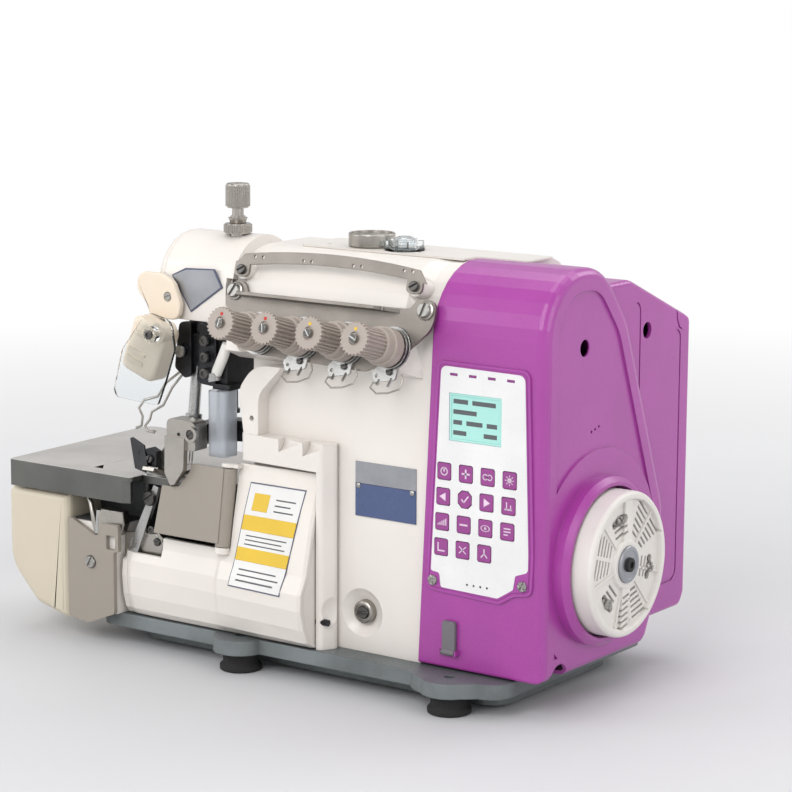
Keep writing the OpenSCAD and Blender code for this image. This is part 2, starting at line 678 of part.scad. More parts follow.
module front_cover() {
    end_t = 4;
    step_x = -137;
    color("antiquewhite") place() difference() {
        union() {
            difference() {
                loft([cover_ring(cover_x0, 0, 7), cover_ring(cover_x0 + 1.5, 0, 4),
                    cover_ring(cover_x0 + 4, 0, 2), cover_ring(cover_x0 + 9, 0, 0.6),
                    cover_ring(cover_x0 + 22, 0, 0), cover_ring(step_x - 2, 0.15, 0),
                    cover_ring(step_x + 1, 0.35, 0), cover_ring(-100, 0.7, 0),
                    cover_ring(cover_x1 - 2, 1, 0), cover_ring(cover_x1 - 0.2, 1, 1.2)], band = true);
                block([cover_x0 - 1, -far, 53], [chip_x + chip_r + 0.5, far, far]);
                block([cover_x0 - 1, -far, 41], [-184, far, far]);
            }
            cover_end(cover_x1 - 0.6 - end_t, end_t, 1, cover_h - 1);
            cover_end(cover_x0 + 1.5, end_t, 0, 40);
        }
        rod_x(-far, far, hinge_y, hinge_z, hinge_r + run);
    }
    // pin and lugs of the chip cover
    color("antiquewhite") place() on_chip() {
        translate([0, 0, -2]) cylinder(r = chip_pin_r, h = chip_h + 4);
        for (z = [-4 - gap, chip_h + 2 * gap]) difference() {
            union() {
                translate([0, 0, z]) cylinder(r = chip_r, h = z < 0 ? 4 : 2.4);
                translate([0, 0, z]) block([-2, z < 0 ? 0 : -2, 0], [z < 0 ? 2 : 8, chip_r - 0.6, z < 0 ? 4 : 2.4]);
            }
        }
    }
}

// End wall of the looper cover, rounded about the hinge so that it swings clear.
module cover_end(x, t, k, top) {
    f = cover_face(k);
    along_x(x, x + t) intersection() {
        union() {
            polygon(concat([for (p = f) if (p[1] <= top) [p[0] + 1.4, p[1]]],
                [[hinge_y + 2, hinge_z - 14], [hinge_y + 6, hinge_z - 4], [hinge_y + 6, hinge_z + 6],
                 [-7, min(top, 46)], [k > 0 ? -3 : -7, top]]));
        }
        translate([-60, 0]) square([66, far]);
    }
}

module chip_cover() {
    leaf_t = 1.8;
    low = 2;
    edge_lean = 7;
    color("tan") place() difference() {
        union() {
            on_chip() cylinder(r = chip_r, h = chip_h);
            on_chip() translate([0, -chip_r - 0.6, 0]) rotate([90, 0, 90]) translate([0, 0, -51])
                linear_extrude(51) polygon([[0, low], [leaf_t, low], [leaf_t, chip_h], [0, chip_h]]);
        }
        on_chip() translate([0, 0, -1]) cylinder(r = chip_pin_r + run, h = chip_h + 2);
        on_chip() translate([-51, 0, low]) rotate([0, edge_lean, 0]) block([-40, -20, -20], [0, 20, 70]);
        // corner cut away behind the tongue of the foot, so that the cover swings clear
        on_chip() along_y(-20, 0) polygon([[-far, 32.2], [-38, 32.2], [-33.8, 33.2], [-26, 43.6],
            [-25.9, far], [-far, far]]);
    }
}

// ---------------------------------------------------------------- control housing and drive

module control_housing() {
    recess = 1.3;
    collar_r = 50;
    collar_in = wheel_r + 1.8;
    hole = [40, house_top - 48.5, 5];
    notch = [16, 9];
    pocket_y = -1.8;
    post = [53, 142];
    color("mediumorchid") place() difference() {
        union() {
            difference() {
                pillow_x(housing_profile, -2, housing_w, 0, 6, 8);
                pillow_x(inset(housing_profile, shell_t), -3, housing_w - shell_t, 0, 3, 8);
                // room for the casting, its top cover and the rear cover
                block([-far, 42, -far], [tail_w + 5, far, far]);
                block([-far, 66, -far], [rear_w + gap, far, far]);
                // sunk field of the side
                difference() {
                    along_x(housing_w - recess, far) polygon(rounded(inset(housing_profile, 13), 8));
                    rod_x(0, far, shaft_y, shaft_z, 66);
                }
            }
            rod_x(housing_w - shell_t, housing_w + collar_w - 3, shaft_y, shaft_z, collar_r);
            translate([housing_w + collar_w - 3, shaft_y, shaft_z]) rotate([0, 90, 0])
                cylinder(r1 = collar_r, r2 = collar_r - 3, h = 3);
            for (x = [usb[0] - 1.6, usb[0] + usb[2] + 0.4]) usb_ear(x);
        }
        rotate([0, seam_lean, 0]) block([-far, -far, -far], [0, far, far]);
        rod_x(housing_w, far, shaft_y, shaft_z, collar_in);
        rod_x(0, far, shaft_y, shaft_z, shaft_r + 1);
        rod_x(0, far, hole[0], hole[1], hole[2]);
        rod_x(0, far, notch[0], 1, notch[1]);
        for (i = [-1:1]) rod_x(0, far, post[0] + 4 * i, post[1] + i, 0.9);
        // pockets of the keys, the window and the socket
        for (r = [0:3], c = [0:(r == 3 ? 2 : 3)]) key_box(r, c, gap, house_y - eps, pocket_y);
        block([lcd[0], house_y - eps, lcd[1]], [lcd[0] + lcd[2], pocket_y, lcd[1] + lcd[3]]);
        block([usb[0] + 1.5, -far, usb[1] + 5], [usb[0] + usb[2] - 1.5, 0, usb[1] + usb[3] - 4]);
    }
    color("mediumorchid") place()
        rod_x(usb[0] - 1.2, usb[0] + usb[2] + 1.2, usb_pin[0], usb_pin[1], usb_pin_r);
}

module usb_ear(x) {
    block([x, usb_pin[0] - 1.6, usb_pin[1] - 1.6], [x + 1.2, house_y + 1, usb_pin[1] + 1.6]);
}

// Flap over the socket in the front of the housing, hinged along its lower edge.
module usb_cover() {
    barrel_r = 1.8;
    color("gray") place() difference() {
        union() {
            along_y(house_y - 2.6, house_y - gap) polygon(rounded([[usb[0], usb_pin[1], 0],
                [usb[0] + usb[2], usb_pin[1], 0], [usb[0] + usb[2], usb[1] + usb[3], 1.6],
                [usb[0], usb[1] + usb[3], 1.6]]));
            rod_x(usb[0], usb[0] + usb[2], usb_pin[0], usb_pin[1], barrel_r);
        }
        rod_x(-far, far, usb_pin[0], usb_pin[1], usb_pin_r + run);
    }
}

function key_at(r, c) = [key_x0 + c * key_dx - r * 0.6, key_z0 - r * key_dz];

// Outline of a key in row r and column c, grown by g, between two depths.
module key_box(r, c, g, y0, y1) {
    p = key_at(r, c);
    w = key_w / 2 + g;
    h = key_h / 2 + g;
    cut = r == 1 && c == 1 ? 2.6 : 0.9;
    translate([p[0], 0, p[1]]) along_y(y0, y1) polygon([[-w + cut, -h], [w - cut, -h], [w, -h + cut],
        [w, h - cut], [w - cut, h], [-w + cut, h], [-w, h - cut], [-w, -h + cut]]);
}

module key(r, c) {
    front = house_y - panel_t - key_proud;
    color("orchid") place() key_box(r, c, 0, front, front + key_t);
}
module key_1_1() { key(0, 0); }
module key_1_2() { key(0, 1); }
module key_1_3() { key(0, 2); }
module key_1_4() { key(0, 3); }
module key_2_1() { key(1, 0); }
module key_2_2() { key(1, 1); }
module key_2_3() { key(1, 2); }
module key_2_4() { key(1, 3); }
module key_3_1() { key(2, 0); }
module key_3_2() { key(2, 1); }
module key_3_3() { key(2, 2); }
module key_3_4() { key(2, 3); }
module key_4_1() { key(3, 0); }
module key_4_2() { key(3, 1); }
module key_4_3() { key(3, 2); }

module control_panel() {
    bead = 1.6;
    out = [[6, 47, 6], [57, 45, 4], [67, 51, 4], [79, 53, 5], [80, 76, 8], [76, 182.5, 5],
        [13, 183, 5]];
    color("ghostwhite") place() difference() {
        along_y(house_y - panel_t, house_y) polygon(rounded(out));
        along_y(house_y - panel_t - 1, house_y - panel_t + 0.35) difference() {
            polygon(rounded(inset(out, bead)));
            polygon(rounded(inset(out, bead + 0.8)));
        }
        for (r = [0:3], c = [0:(r == 3 ? 2 : 3)]) key_box(r, c, gap, -far, far);
        block([lcd[0], -far, lcd[1]], [lcd[0] + lcd[2], far, lcd[1] + lcd[3]]);
        for (p = [[11, 53], [73, 58]]) rod_y(-far, far, p[0], p[1], 1.8);
        for (i = [0:3]) block([22 + i * 13, house_y - panel_t - 1, 175], [27 + i * 13, house_y - panel_t + 0.4, 176.4]);
    }
}

module lcd_window() {
    frame_w = 1.4;
    front = house_y - panel_t + 0.2;
    color("mediumaquamarine") place() difference() {
        block([lcd[0] + eps, front, lcd[1] + eps], [lcd[0] + lcd[2] - eps, -1.8, lcd[1] + lcd[3] - eps]);
        block([lcd[0] + frame_w, front - 1, lcd[1] + frame_w],
            [lcd[0] + lcd[2] - frame_w, front + 0.4, lcd[1] + lcd[3] - frame_w]);
    }
}

module rear_cover() {
    tongue_y = 66 + gap;
    tongue_z = 184;
    out = [[tongue_y, 12, 1], [170, 12, 6], [175, 20, 8], [175, 193, 5], [168.5, 196, 5],
        [102, 223.5, 20], [tongue_y, 223.5, 2]];
    border = [[body_d + 18, 30, 8], [163, 30, 8], [163, 184, 5], [158, 189, 8], [108, 209, 12],
        [body_d + 18, 209, 6]];
    color("mediumorchid") place() difference() {
        pillow_x(out, -8, rear_w, 3, 3);
        difference() {
            pillow_x(inset(out, shell_t), -8 + shell_t, rear_w - shell_t, 1, 1);
            block([-far, -far, -far], [far, body_d + gap + shell_t, tongue_z + shell_t]);
        }
        block([-far, -far, -far], [far, body_d + gap, tongue_z]);
        block([-far, -far, -far], [tail_w + gap, body_d + gap, far]);
        // open to the casting, and round the motor
        block([-3, body_d, 17], [tail_w - 3, body_d + 7, 212]);
        rod_x(0, far, shaft_y, shaft_z, motor_r + 1);
        along_x(rear_w - 0.9, far) difference() {
            polygon(rounded(border));
            polygon(rounded(inset(border, 1.4)));
        }
        rod_x(rear_w - 10, far, 122, 191, 5);
        // outlets in the underside
        for (x = [8, 30]) rod_z(-far, 20, x, 140, 6);
    }
}

module motor() {
    ribs = 16;
    length = housing_w - shell_t - tail_w - 5.5;
    color("dimgray") place() difference() {
        union() {
            rod_x(tail_w, tail_w + length, shaft_y, shaft_z, motor_r - 3);
            rod_x(tail_w, tail_w + 5, shaft_y, shaft_z, motor_r);
            rod_x(tail_w + length - 6, tail_w + length, shaft_y, shaft_z, motor_r);
            for (i = [0:ribs - 1]) translate([tail_w + eps, shaft_y, shaft_z]) rotate([i * 360 / ribs, 0, 0])
                block([0, motor_r - 6, -1.2], [length - 1, motor_r - 0.5, 1.2]);
        }
        rod_x(-far, far, shaft_y, shaft_z, shaft_r + run);
    }
}

module main_shaft() {
    color("silver") place() difference() {
        rod_x(-120, wheel_x + wheel_w - 3.5, shaft_y, shaft_z, shaft_r);
        rod_x(wheel_x + wheel_w - 8, far, shaft_y, shaft_z, 3);
    }
}

// Handwheel with a sunk, vented face; the slots of three of its sectors run across the radius.
module handwheel() {
    face = wheel_w - 3;
    face_t = 2.4;
    rim = 4.5;
    hub_r = 12;
    screw_ring = 28;
    module sector(a) { rotate(a) children(); }
    color("ivory") place() translate([wheel_x, shaft_y, shaft_z]) rotate([90, 0, 90]) difference() {
        union() {
            rotate_extrude($fn = 96) polygon(rounded([[shaft_r, 1, 0], [wheel_r - 3, 1, 0], [wheel_r - 3, 0, 0],
                [wheel_r, 0, 1.5], [wheel_r, wheel_w, 2.5], [wheel_r - rim, wheel_w, 1],
                [wheel_r - rim - 0.6, face, 0], [hub_r + 3, face, 0], [hub_r + 2, wheel_w - 1, 1],
                [shaft_r, wheel_w - 1, 0]]));
            for (a = [88, 268]) sector(a) block([hub_r, -4.5, face - 1], [wheel_r - rim + 0.5, 4.5, face + 1.6]);
            for (a = [-17, 43, 133, 193, 253, 313]) sector(a)
                block([hub_r, -0.8, face - 1], [wheel_r - rim + 0.5, 0.8, face + 1]);
        }
        rotate_extrude($fn = 96) polygon([[shaft_r + 3, -1], [wheel_r - rim - 3, -1],
            [wheel_r - rim - 3, face - face_t], [shaft_r + 3, face - face_t]]);
        for (k = [0:2], side = [-1, 1], j = [0:5]) sector(163 + 120 * k) let (r = hub_r + 5.5 + 3.4 * j)
            block([r, side > 0 ? 1.2 : -1.2 - 0.42 * r, 0], [r + 1.5, side > 0 ? 1.2 + 0.42 * r : -1.2, far]);
        for (k = [0:2]) sector(106 + 120 * k) {
            for (j = [0, 1]) block([hub_r + 6 + 4 * j, -6, 0], [hub_r + 7.6 + 4 * j, 6, far]);
            for (t = [-10:5:10]) rotate(t) translate([screw_ring, 0, 0]) cylinder(r = 2.6, h = far);
        }
        translate([0, 0, -1]) cylinder(r = shaft_r, h = wheel_w - 2.4);
        translate([0, 0, wheel_w - 1.6]) cylinder(r = hub_r - 1, h = far);
        cylinder(r = 4, h = far);
    }
    color("ivory") place() translate([wheel_x, shaft_y, shaft_z]) rotate([90, 0, 90])
        for (k = [0:2]) rotate(106 + 120 * k) translate([screw_ring, 0, face - face_t - 0.5]) {
            cylinder(r = 3.2, h = 1.5);
            cylinder(r = 2.2, h = 3);
        }
}

// ---------------------------------------------------------------- sewing parts

module needle_bar() {
    low = 33;
    color("silver") place() on_needle() {
        translate([0, 0, low]) cylinder(r = needle_bar_r, h = bar_top - low);
        for (i = [-1, 1]) translate([i * needle_gap / 2, 0, 9]) {
            cylinder(r1 = 0.15, r2 = 0.55, h = 3);
            translate([0, 0, 3 - eps]) cylinder(r = 0.55, h = low - 11);
        }
    }
}

module needle_clamp() {
    color("silver") place() on_needle() difference() {
        union() {
            translate([0, 0, 30]) cylinder(r = 5.2, h = 10);
            translate([0, 0, 27]) cylinder(r1 = 3.6, r2 = 5.2, h = 3 + eps);
            translate([-4, 0, 35]) rotate([0, -90, 0]) cylinder(r = 2, h = 5);
        }
        translate([0, 0, 33]) cylinder(r = needle_bar_r, h = 30);
        for (i = [-1, 1]) translate([i * needle_gap / 2, 0, 0]) cylinder(r = 0.55, h = 40);
        translate([-9.5, -0.6, 0]) cube([1.5, 1.2, 60]);
    }
}

module presser_arm() {
    y0 = 6;
    y1 = 18;
    color("gray") place() difference() {
        union() {
            along_y(y0, y1) polygon(rounded([[-165, 115, 2], [-150, 115, 2], [-122, 117, 8],
                [foot_pivot[0], foot_pivot[1] - 7, 0], [foot_pivot[0], foot_pivot[1] + 7, 0],
                [-126, 129, 6], [-152, 128, 6], [-165, 127, 2]]));
            rod_y(y0, y1, foot_pivot[0], foot_pivot[1], 7);
            block([-165, -10.3, 116], [-155, y0 + eps, 127]);
        }
        rod_y(-far, far, foot_pivot[0], foot_pivot[1], foot_pin_r + run);
    }
}

module presser_foot() {
    sole_z = work_h + 1.2;
    sole_t = 2.6;
    screw = [-156, 122.6];
    color("silver") place() difference() {
        union() {
            // sole, open between its toes, with the left toe turned up
            along_z(sole_z, sole_z + sole_t) polygon(rounded([[-192, -15.5, 2], [-160, -15.5, 2],
                [-160, 14, 4], [-164, 18, 3], [-188, 18, 4], [-192, 12, 4]]));
            along_x(-192, -183) polygon([[-15, sole_z], [-15, sole_z + sole_t], [-26, sole_z + 7],
                [-27, sole_z + 5]]);
            // ankle in front of the needles, tongue before the chip cover and link to the toe
            along_y(-22, -10.4) polygon(rounded([[-176, 112, 2], [-153.5, 112, 2], [-153.5, 130, 4],
                [-176, 131, 4]]));
            along_y(-24, -20.2) polygon(rounded([[-176, 120, 0], [-176.5, 97, 3], [-172, 89, 1],
                [-169, 90, 1], [-161.5, 100, 4], [-160.5, 120, 0]]));
            along_y(-15.5, -11) polygon(rounded([[-190, sole_z, 0], [-181, sole_z, 0], [-178, 105, 6],
                [-172, 113, 4], [-172, 123, 0], [-178, 119, 4], [-187, 106, 6]]));
            rod_y(-24, -21, screw[0], screw[1], 5);
        }
        block([-175.5, -20, 0], [-168, 4, sole_z + sole_t + 1]);
        for (x = [-187.5, -163]) block([x - 0.8, 2, 0], [x + 0.8, far, far]);
        rod_y(-far, -22.6, screw[0], screw[1], 3);
    }
}

module pressure_screw() {
    low = head_axis_z - 4;
    top = body_h + 15.5;
    cap_low = body_h + 22.5;
    cap_top = body_h + 36.5;
    cap = 7.6;
    color("silver") place() translate([screw_x, screw_y, 0]) difference() {
        union() {
            rod_z(low, top + 1, 0, 0, presser_screw_r);
            translate([0, 0, top - 4]) cylinder(r1 = presser_screw_r, r2 = 6, h = 4);
            rod_z(top - eps, cap_low, 0, 0, 3.6);
            along_z(cap_low, cap_top - 1.5) polygon(fluted(cap, 0.5, 36));
            rotate_extrude() polygon(rounded([[0, cap_low - 1, 0], [cap - 1.2, cap_low - 1, 0],
                [cap - 0.6, cap_low + 0.5, 0], [cap - 0.6, cap_top - 1.6, 0], [cap - 0.3, cap_top, 1],
                [0, cap_top, 0]]));
            for (z = [nut_top + 1.4:1.2:top - 5]) rotate_extrude() translate([presser_screw_r, z])
                polygon([[-0.5, -0.4], [0.25, 0], [-0.5, 0.4]]);
        }
        rod_z(cap_top - 3, far, 0, 0, 2.5);
    }
}

module lock_nut() {
    low = body_h + 5.9;
    r = 8.8;
    color("silver") place() translate([screw_x, screw_y, 0]) difference() {
        union() {
            along_z(low + 0.6, nut_top - 0.6) polygon(fluted(r, 0.5, 36));
            rod_z(low, nut_top, 0, 0, r - 1);
        }
        rod_z(-far, far, 0, 0, presser_screw_r + 0.4);
    }
}

// Black castings under the head: the guide of the needle bar and the take-up bracket.
module head_bracket() {
    screws = [159, 169, 179];
    screws_x = -154;
    color("dimgray") place() difference() {
        union() {
            along_x(-163, -141) polygon(rounded([[-6, 151, 2], [22, 151, 4], [22, head_z, 0],
                [-4, head_z, 0], [-6, 184, 3]]));
            // ribs in front of the needle bar and of the presser's guide
            along_y(-9, -5.5) polygon(rounded([[-180, 160, 3], [-172, 154, 3], [-167, 156, 3],
                [-167, head_z - 1, 2], [-176, head_z - 1, 4], [-178, 176, 4]]));
            along_y(-9, -5.5) polygon(rounded([[-161, 152, 3], [-148, 151, 3], [-147, head_z - 1, 2],
                [-160, head_z - 1, 2]]));
            rod_z(134, 152, -153, 14, 3.4);
            rod_z(131.5, 134 + eps, -153, 14, 4.6);
            on_needle() translate([0, 0, 71]) cylinder(r = 7, h = 27);
            block([-176, -6, 162], [-160, 10, 182]);
            for (z = screws) rod_y(-11.5, -9 + eps, screws_x, z, 3.4);
            rod_y(-12, -9 + eps, -173, 171, 4);
            // lug of the oil box
            block([-150, -9, 149.6], [-137, 6, 153]);
        }
        on_needle() translate([0, 0, 40]) cylinder(r = needle_bar_r + run, h = 80);
        for (z = screws) block([screws_x - 3, -12, z - 0.5], [screws_x + 3, -10.7, z + 0.5]);
        block([-176, -13, 170.4], [-170, -11, 171.6]);
        rod_x(-165, far, 8, 172, 4);
    }
}

module thread_oil_box() {
    wall = 1.4;
    low = 109;
    out = [[-150, -15, 3], [-136.5, -15, 3], [-136.5, -1, 2], [-150, -1, 2]];
    color([0.85, 0.9, 0.95, 0.6]) place() difference() {
        along_z(low, 149.4) polygon(rounded(out));
        along_z(low + wall, far) polygon(rounded(inset(out, wall)));
    }
    color([0.95, 0.95, 0.92]) place() rod_z(low + wall - eps, 149, -143.2, -8, 3.6);
}

module lamp_bracket() {
    color("bisque") place() difference() {
        union() {
            pillow_y([[-207, 207, 7], [-199, 198, 3], [-196, 190, 6], [-174, 190, 6], [-172, 200, 8],
                [-178, 214, 8], [-190, 218, 8], [-206, 218, 7]], -13, -9, 1, 0.5);
            rod_y(-9.5, head_front, -182, 204, 6);
        }
        rod_y(-far, -11.5, -182, 204, 3);
    }
}

// Turns the upright lamp box into its place.
module on_lamp() { translate([lamp_at[0], 0, lamp_at[1]]) rotate([0, 20, 0]) children(); }

module lamp_housing() {
    color("bisque") place() difference() {
        union() {
            on_lamp() {
                pillow_y([[-13.5, -19, 5], [13.5, -19, 5], [13.5, 16, 4], [-13.5, 16, 4]], -28, -13.4, 3, 1.5);
                for (z = [-12, -6, 6]) along_y(-29, -27.5) polygon(rounded([[-10, z, 1.2], [4, z, 1.2],
                    [4, z + 2.6, 1.2], [-10, z + 2.6, 1.2]]));
                rod_y(-14, -8, -6, 11, 4);
            }
            rod_y(-29.5, -18, lamp_knob[0], lamp_knob[1], 6);
            rod_y(-38, -29, lamp_knob[0], lamp_knob[1], 2);
        }
        on_lamp() block([-9, -24, -22], [9, -16, -14]);
    }
}

module eye_guard() {
    color([0.9, 0.95, 1, 0.4]) place() difference() {
        union() {
            along_y(-33, -31) polygon(rounded([[-207, 142, 3], [-174, 140, 3], [-168, 154, 4],
                [-160, 176, 8], [-163, 193, 8], [-182, 197, 8], [-202, 172, 8], [-209, 147, 3]]));
            rod_y(-37, -32, lamp_knob[0], lamp_knob[1], 5);
        }
        rod_y(-far, far, lamp_knob[0], lamp_knob[1], 2 + run);
    }
}

module knife_plate(x0, x1, z0, z1, slope) {
    along_x(x0, x1) polygon([[-15, z0 + 4], [-11, z0], [-9, z0], [-9, z1], [-12, z1], [-15, z1 - slope]]);
}

module lower_knife() {
    right = chip_x - chip_r - 0.7;
    color("silver") place() {
        knife_plate(-161.4, -159.2, 62, work_h, 3);
        difference() {
            union() {
                along_y(-13, -3) polygon(rounded([[-164, 60, 2], [right, 60, 2], [right, 77, 2],
                    [-159.2, 77.6, 1], [-164, 75, 2]]));
                block([right - 2, -8, 62], [-121, -3 + eps, 74]);
                block([-128, -3, 62], [-121, 0, 74]);
            }
            rod_z(-far, far, knife_post[0], knife_post[1], knife_post_r + run);
            rod_y(-far, -11, -154, 70, 3.2);
            rod_y(-far, -11, -149, 64, 1.8);
        }
    }
}

// The upper knife slides up and down on a post in the holder of the lower one.
module upper_knife() {
    color("silver") place() {
        knife_plate(-158.6, -156.4, 82.5, 101, 4);
        difference() {
            union() {
                along_x(-156.4 - eps, knife_post[0] + 4) polygon(rounded([[-14, 90, 1], [-9, 86, 2],
                    [-4, 86, 2], [-4, 96, 2], [-9, 97, 2], [-14, 94, 1]]));
                rod_z(64, 90, knife_post[0], knife_post[1], knife_post_r);
            }
            rod_x(knife_post[0] + 2, far, -9, 92, 1.6);
        }
    }
}

// Loopers: levers on shafts that cross the chamber from front to back.
module upper_looper() {
    color("silver") place() difference() {
        union() {
            rod_y(-3, 74, upper_pin[0], upper_pin[1], looper_pin_r);
            rod_y(-3, 6, upper_pin[0], upper_pin[1], 8);
            along_y(-2, 3) polygon(rounded([[-212, 28, 4], [-201, 27, 4], [-190, 52, 6], [-186, 64, 4],
                [-189, 66, 1], [-196, 60, 6], [-207, 44, 8]]));
            along_y(-1, 1.5) polygon(rounded([[-190, 58, 1], [-186, 62, 1], [-180, 74, 6], [-182, 83, 0.3],
                [-186, 72, 6]]));
        }
        rod_y(-far, 1, upper_pin[0], upper_pin[1], 2.4);
    }
}

module lower_looper() {
    color("silver") place() difference() {
        union() {
            rod_y(10, 74, lower_pin[0], lower_pin[1], looper_pin_r);
            rod_y(12, 20, lower_pin[0], lower_pin[1], 8);
            along_y(13, 18) polygon(rounded([[-156, 24, 4], [-144, 24, 4], [-146, 44, 8], [-158, 62, 6],
                [-164, 60, 2], [-158, 42, 8]]));
            along_y(14, 16.5) polygon(rounded([[-157, 54, 1], [-154, 60, 1], [-166, 72, 6], [-178, 75, 0.3],
                [-165, 67, 6]]));
        }
        rod_y(-far, 14, lower_pin[0], lower_pin[1], 2.4);
    }
}

module feed_dogs() {
    bar = 1.6;
    pitch = 1.5;
    tip = 0.8;
    color("gray") place() {
        for (x = feed_slots) along_x(x - bar / 2, x + bar / 2) polygon(concat(
            [[feed_y[0], 82], [feed_y[1], 82]],
            [for (i = [floor((feed_y[1] - feed_y[0]) / pitch):-1:0]) each
                [[feed_y[0] + i * pitch, work_h + tip], [feed_y[0] + i * pitch, work_h]]]));
        block([-188, feed_y[0], 78], [-156, feed_y[1], 82 + eps]);
        block([-176, feed_y[1] - 2, 66], [-168, 56, 79]);
    }
}

base_plate();
rubber_cushions();
body_casting();
face_cover();
arm_top_cover();
oil_sight_dome();
oil_filler_cap();
tension_plate();
tension_posts();
upper_thread_guide();
hinge_pins();
left_cover();
side_plate();
needle_plate();
lower_knife();
head_bracket();
lamp_bracket();
lamp_housing();
control_housing();
rear_cover();
control_panel();
lcd_window();
motor();
handwheel();
main_shaft();
needle_bar();
needle_clamp();
presser_arm();
presser_foot();
cloth_plate();
front_cover();
chip_cover();
tension_knob_1();
tension_knob_2();
tension_knob_3();
tension_knob_4();
pressure_screw();
lock_nut();
eye_guard();
thread_oil_box();
upper_knife();
upper_looper();
lower_looper();
feed_dogs();
usb_cover();
key_1_1();
key_1_2();
key_1_3();
key_1_4();
key_2_1();
key_2_2();
key_2_3();
key_2_4();
key_3_1();
key_3_2();
key_3_3();
key_3_4();
key_4_1();
key_4_2();
key_4_3();
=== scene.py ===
import json
import math
import bmesh
import bpy
from mathutils import Matrix, Vector


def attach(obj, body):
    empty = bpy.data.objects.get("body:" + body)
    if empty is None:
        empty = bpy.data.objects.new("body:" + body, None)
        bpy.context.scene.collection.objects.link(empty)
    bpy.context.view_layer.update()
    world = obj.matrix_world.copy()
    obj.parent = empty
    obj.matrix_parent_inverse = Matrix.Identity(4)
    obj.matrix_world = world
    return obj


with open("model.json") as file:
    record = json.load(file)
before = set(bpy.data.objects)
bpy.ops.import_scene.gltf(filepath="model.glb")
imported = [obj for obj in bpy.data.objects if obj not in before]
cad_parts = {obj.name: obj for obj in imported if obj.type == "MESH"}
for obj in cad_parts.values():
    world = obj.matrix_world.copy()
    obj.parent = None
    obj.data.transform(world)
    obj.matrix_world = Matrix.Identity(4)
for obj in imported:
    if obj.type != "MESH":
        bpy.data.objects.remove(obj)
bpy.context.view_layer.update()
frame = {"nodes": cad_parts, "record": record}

nodes = frame["nodes"]
scene = bpy.context.scene

# ------------------------------------------------------------------ places
# Most places are given in millimetres from the datum corner, where the column's front meets the
# control housing on top of the base plate; D turns them into the model's frame in metres.
ORIGIN = Vector((47.5, -66.0, 21.0))
LEAN = math.radians(16)
SLOPE_Y, SLOPE_Z = -16, 168


def D(x, y, z):
    return (Vector((x, y, z)) + ORIGIN) / 1000


def front(x, s, d):
    """A point on the arm's leaning front: x along it, s up the slope, d out of it."""
    a = math.radians(90) - LEAN
    return D(x, SLOPE_Y + s * math.cos(a) - d * math.sin(a), SLOPE_Z + s * math.sin(a) + d * math.cos(a))


NORMAL = Vector((0, -math.cos(LEAN), math.sin(LEAN)))
FACE = (0, -1, 0)

# ------------------------------------------------------------------ camera
EYE = (0.916286, -1.310809, 0.4485)
# focal length and picture width in pixels, and the sensor's width in millimetres
FOCAL, PICTURE, SENSOR = 2660, 792, 36
yaw, pitch, roll = math.radians(35.5), math.radians(10), math.radians(0.3)
ahead = Vector((-math.sin(yaw) * math.cos(pitch), math.cos(yaw) * math.cos(pitch), -math.sin(pitch)))
side = Vector((math.cos(yaw), math.sin(yaw), 0))
lift = side.cross(ahead)
right = side * math.cos(roll) + lift * math.sin(roll)
up = lift * math.cos(roll) - side * math.sin(roll)
lens = bpy.data.cameras.new("camera")
lens.sensor_width = SENSOR
lens.lens = FOCAL / PICTURE * SENSOR
lens.clip_start = 0.05
camera = bpy.data.objects.new("camera", lens)
camera.matrix_world = Matrix((
    (right.x, up.x, -ahead.x, EYE[0]),
    (right.y, up.y, -ahead.y, EYE[1]),
    (right.z, up.z, -ahead.z, EYE[2]),
    (0, 0, 0, 1)))
scene.collection.objects.link(camera)
scene.camera = camera
scene.view_settings.view_transform = "Standard"


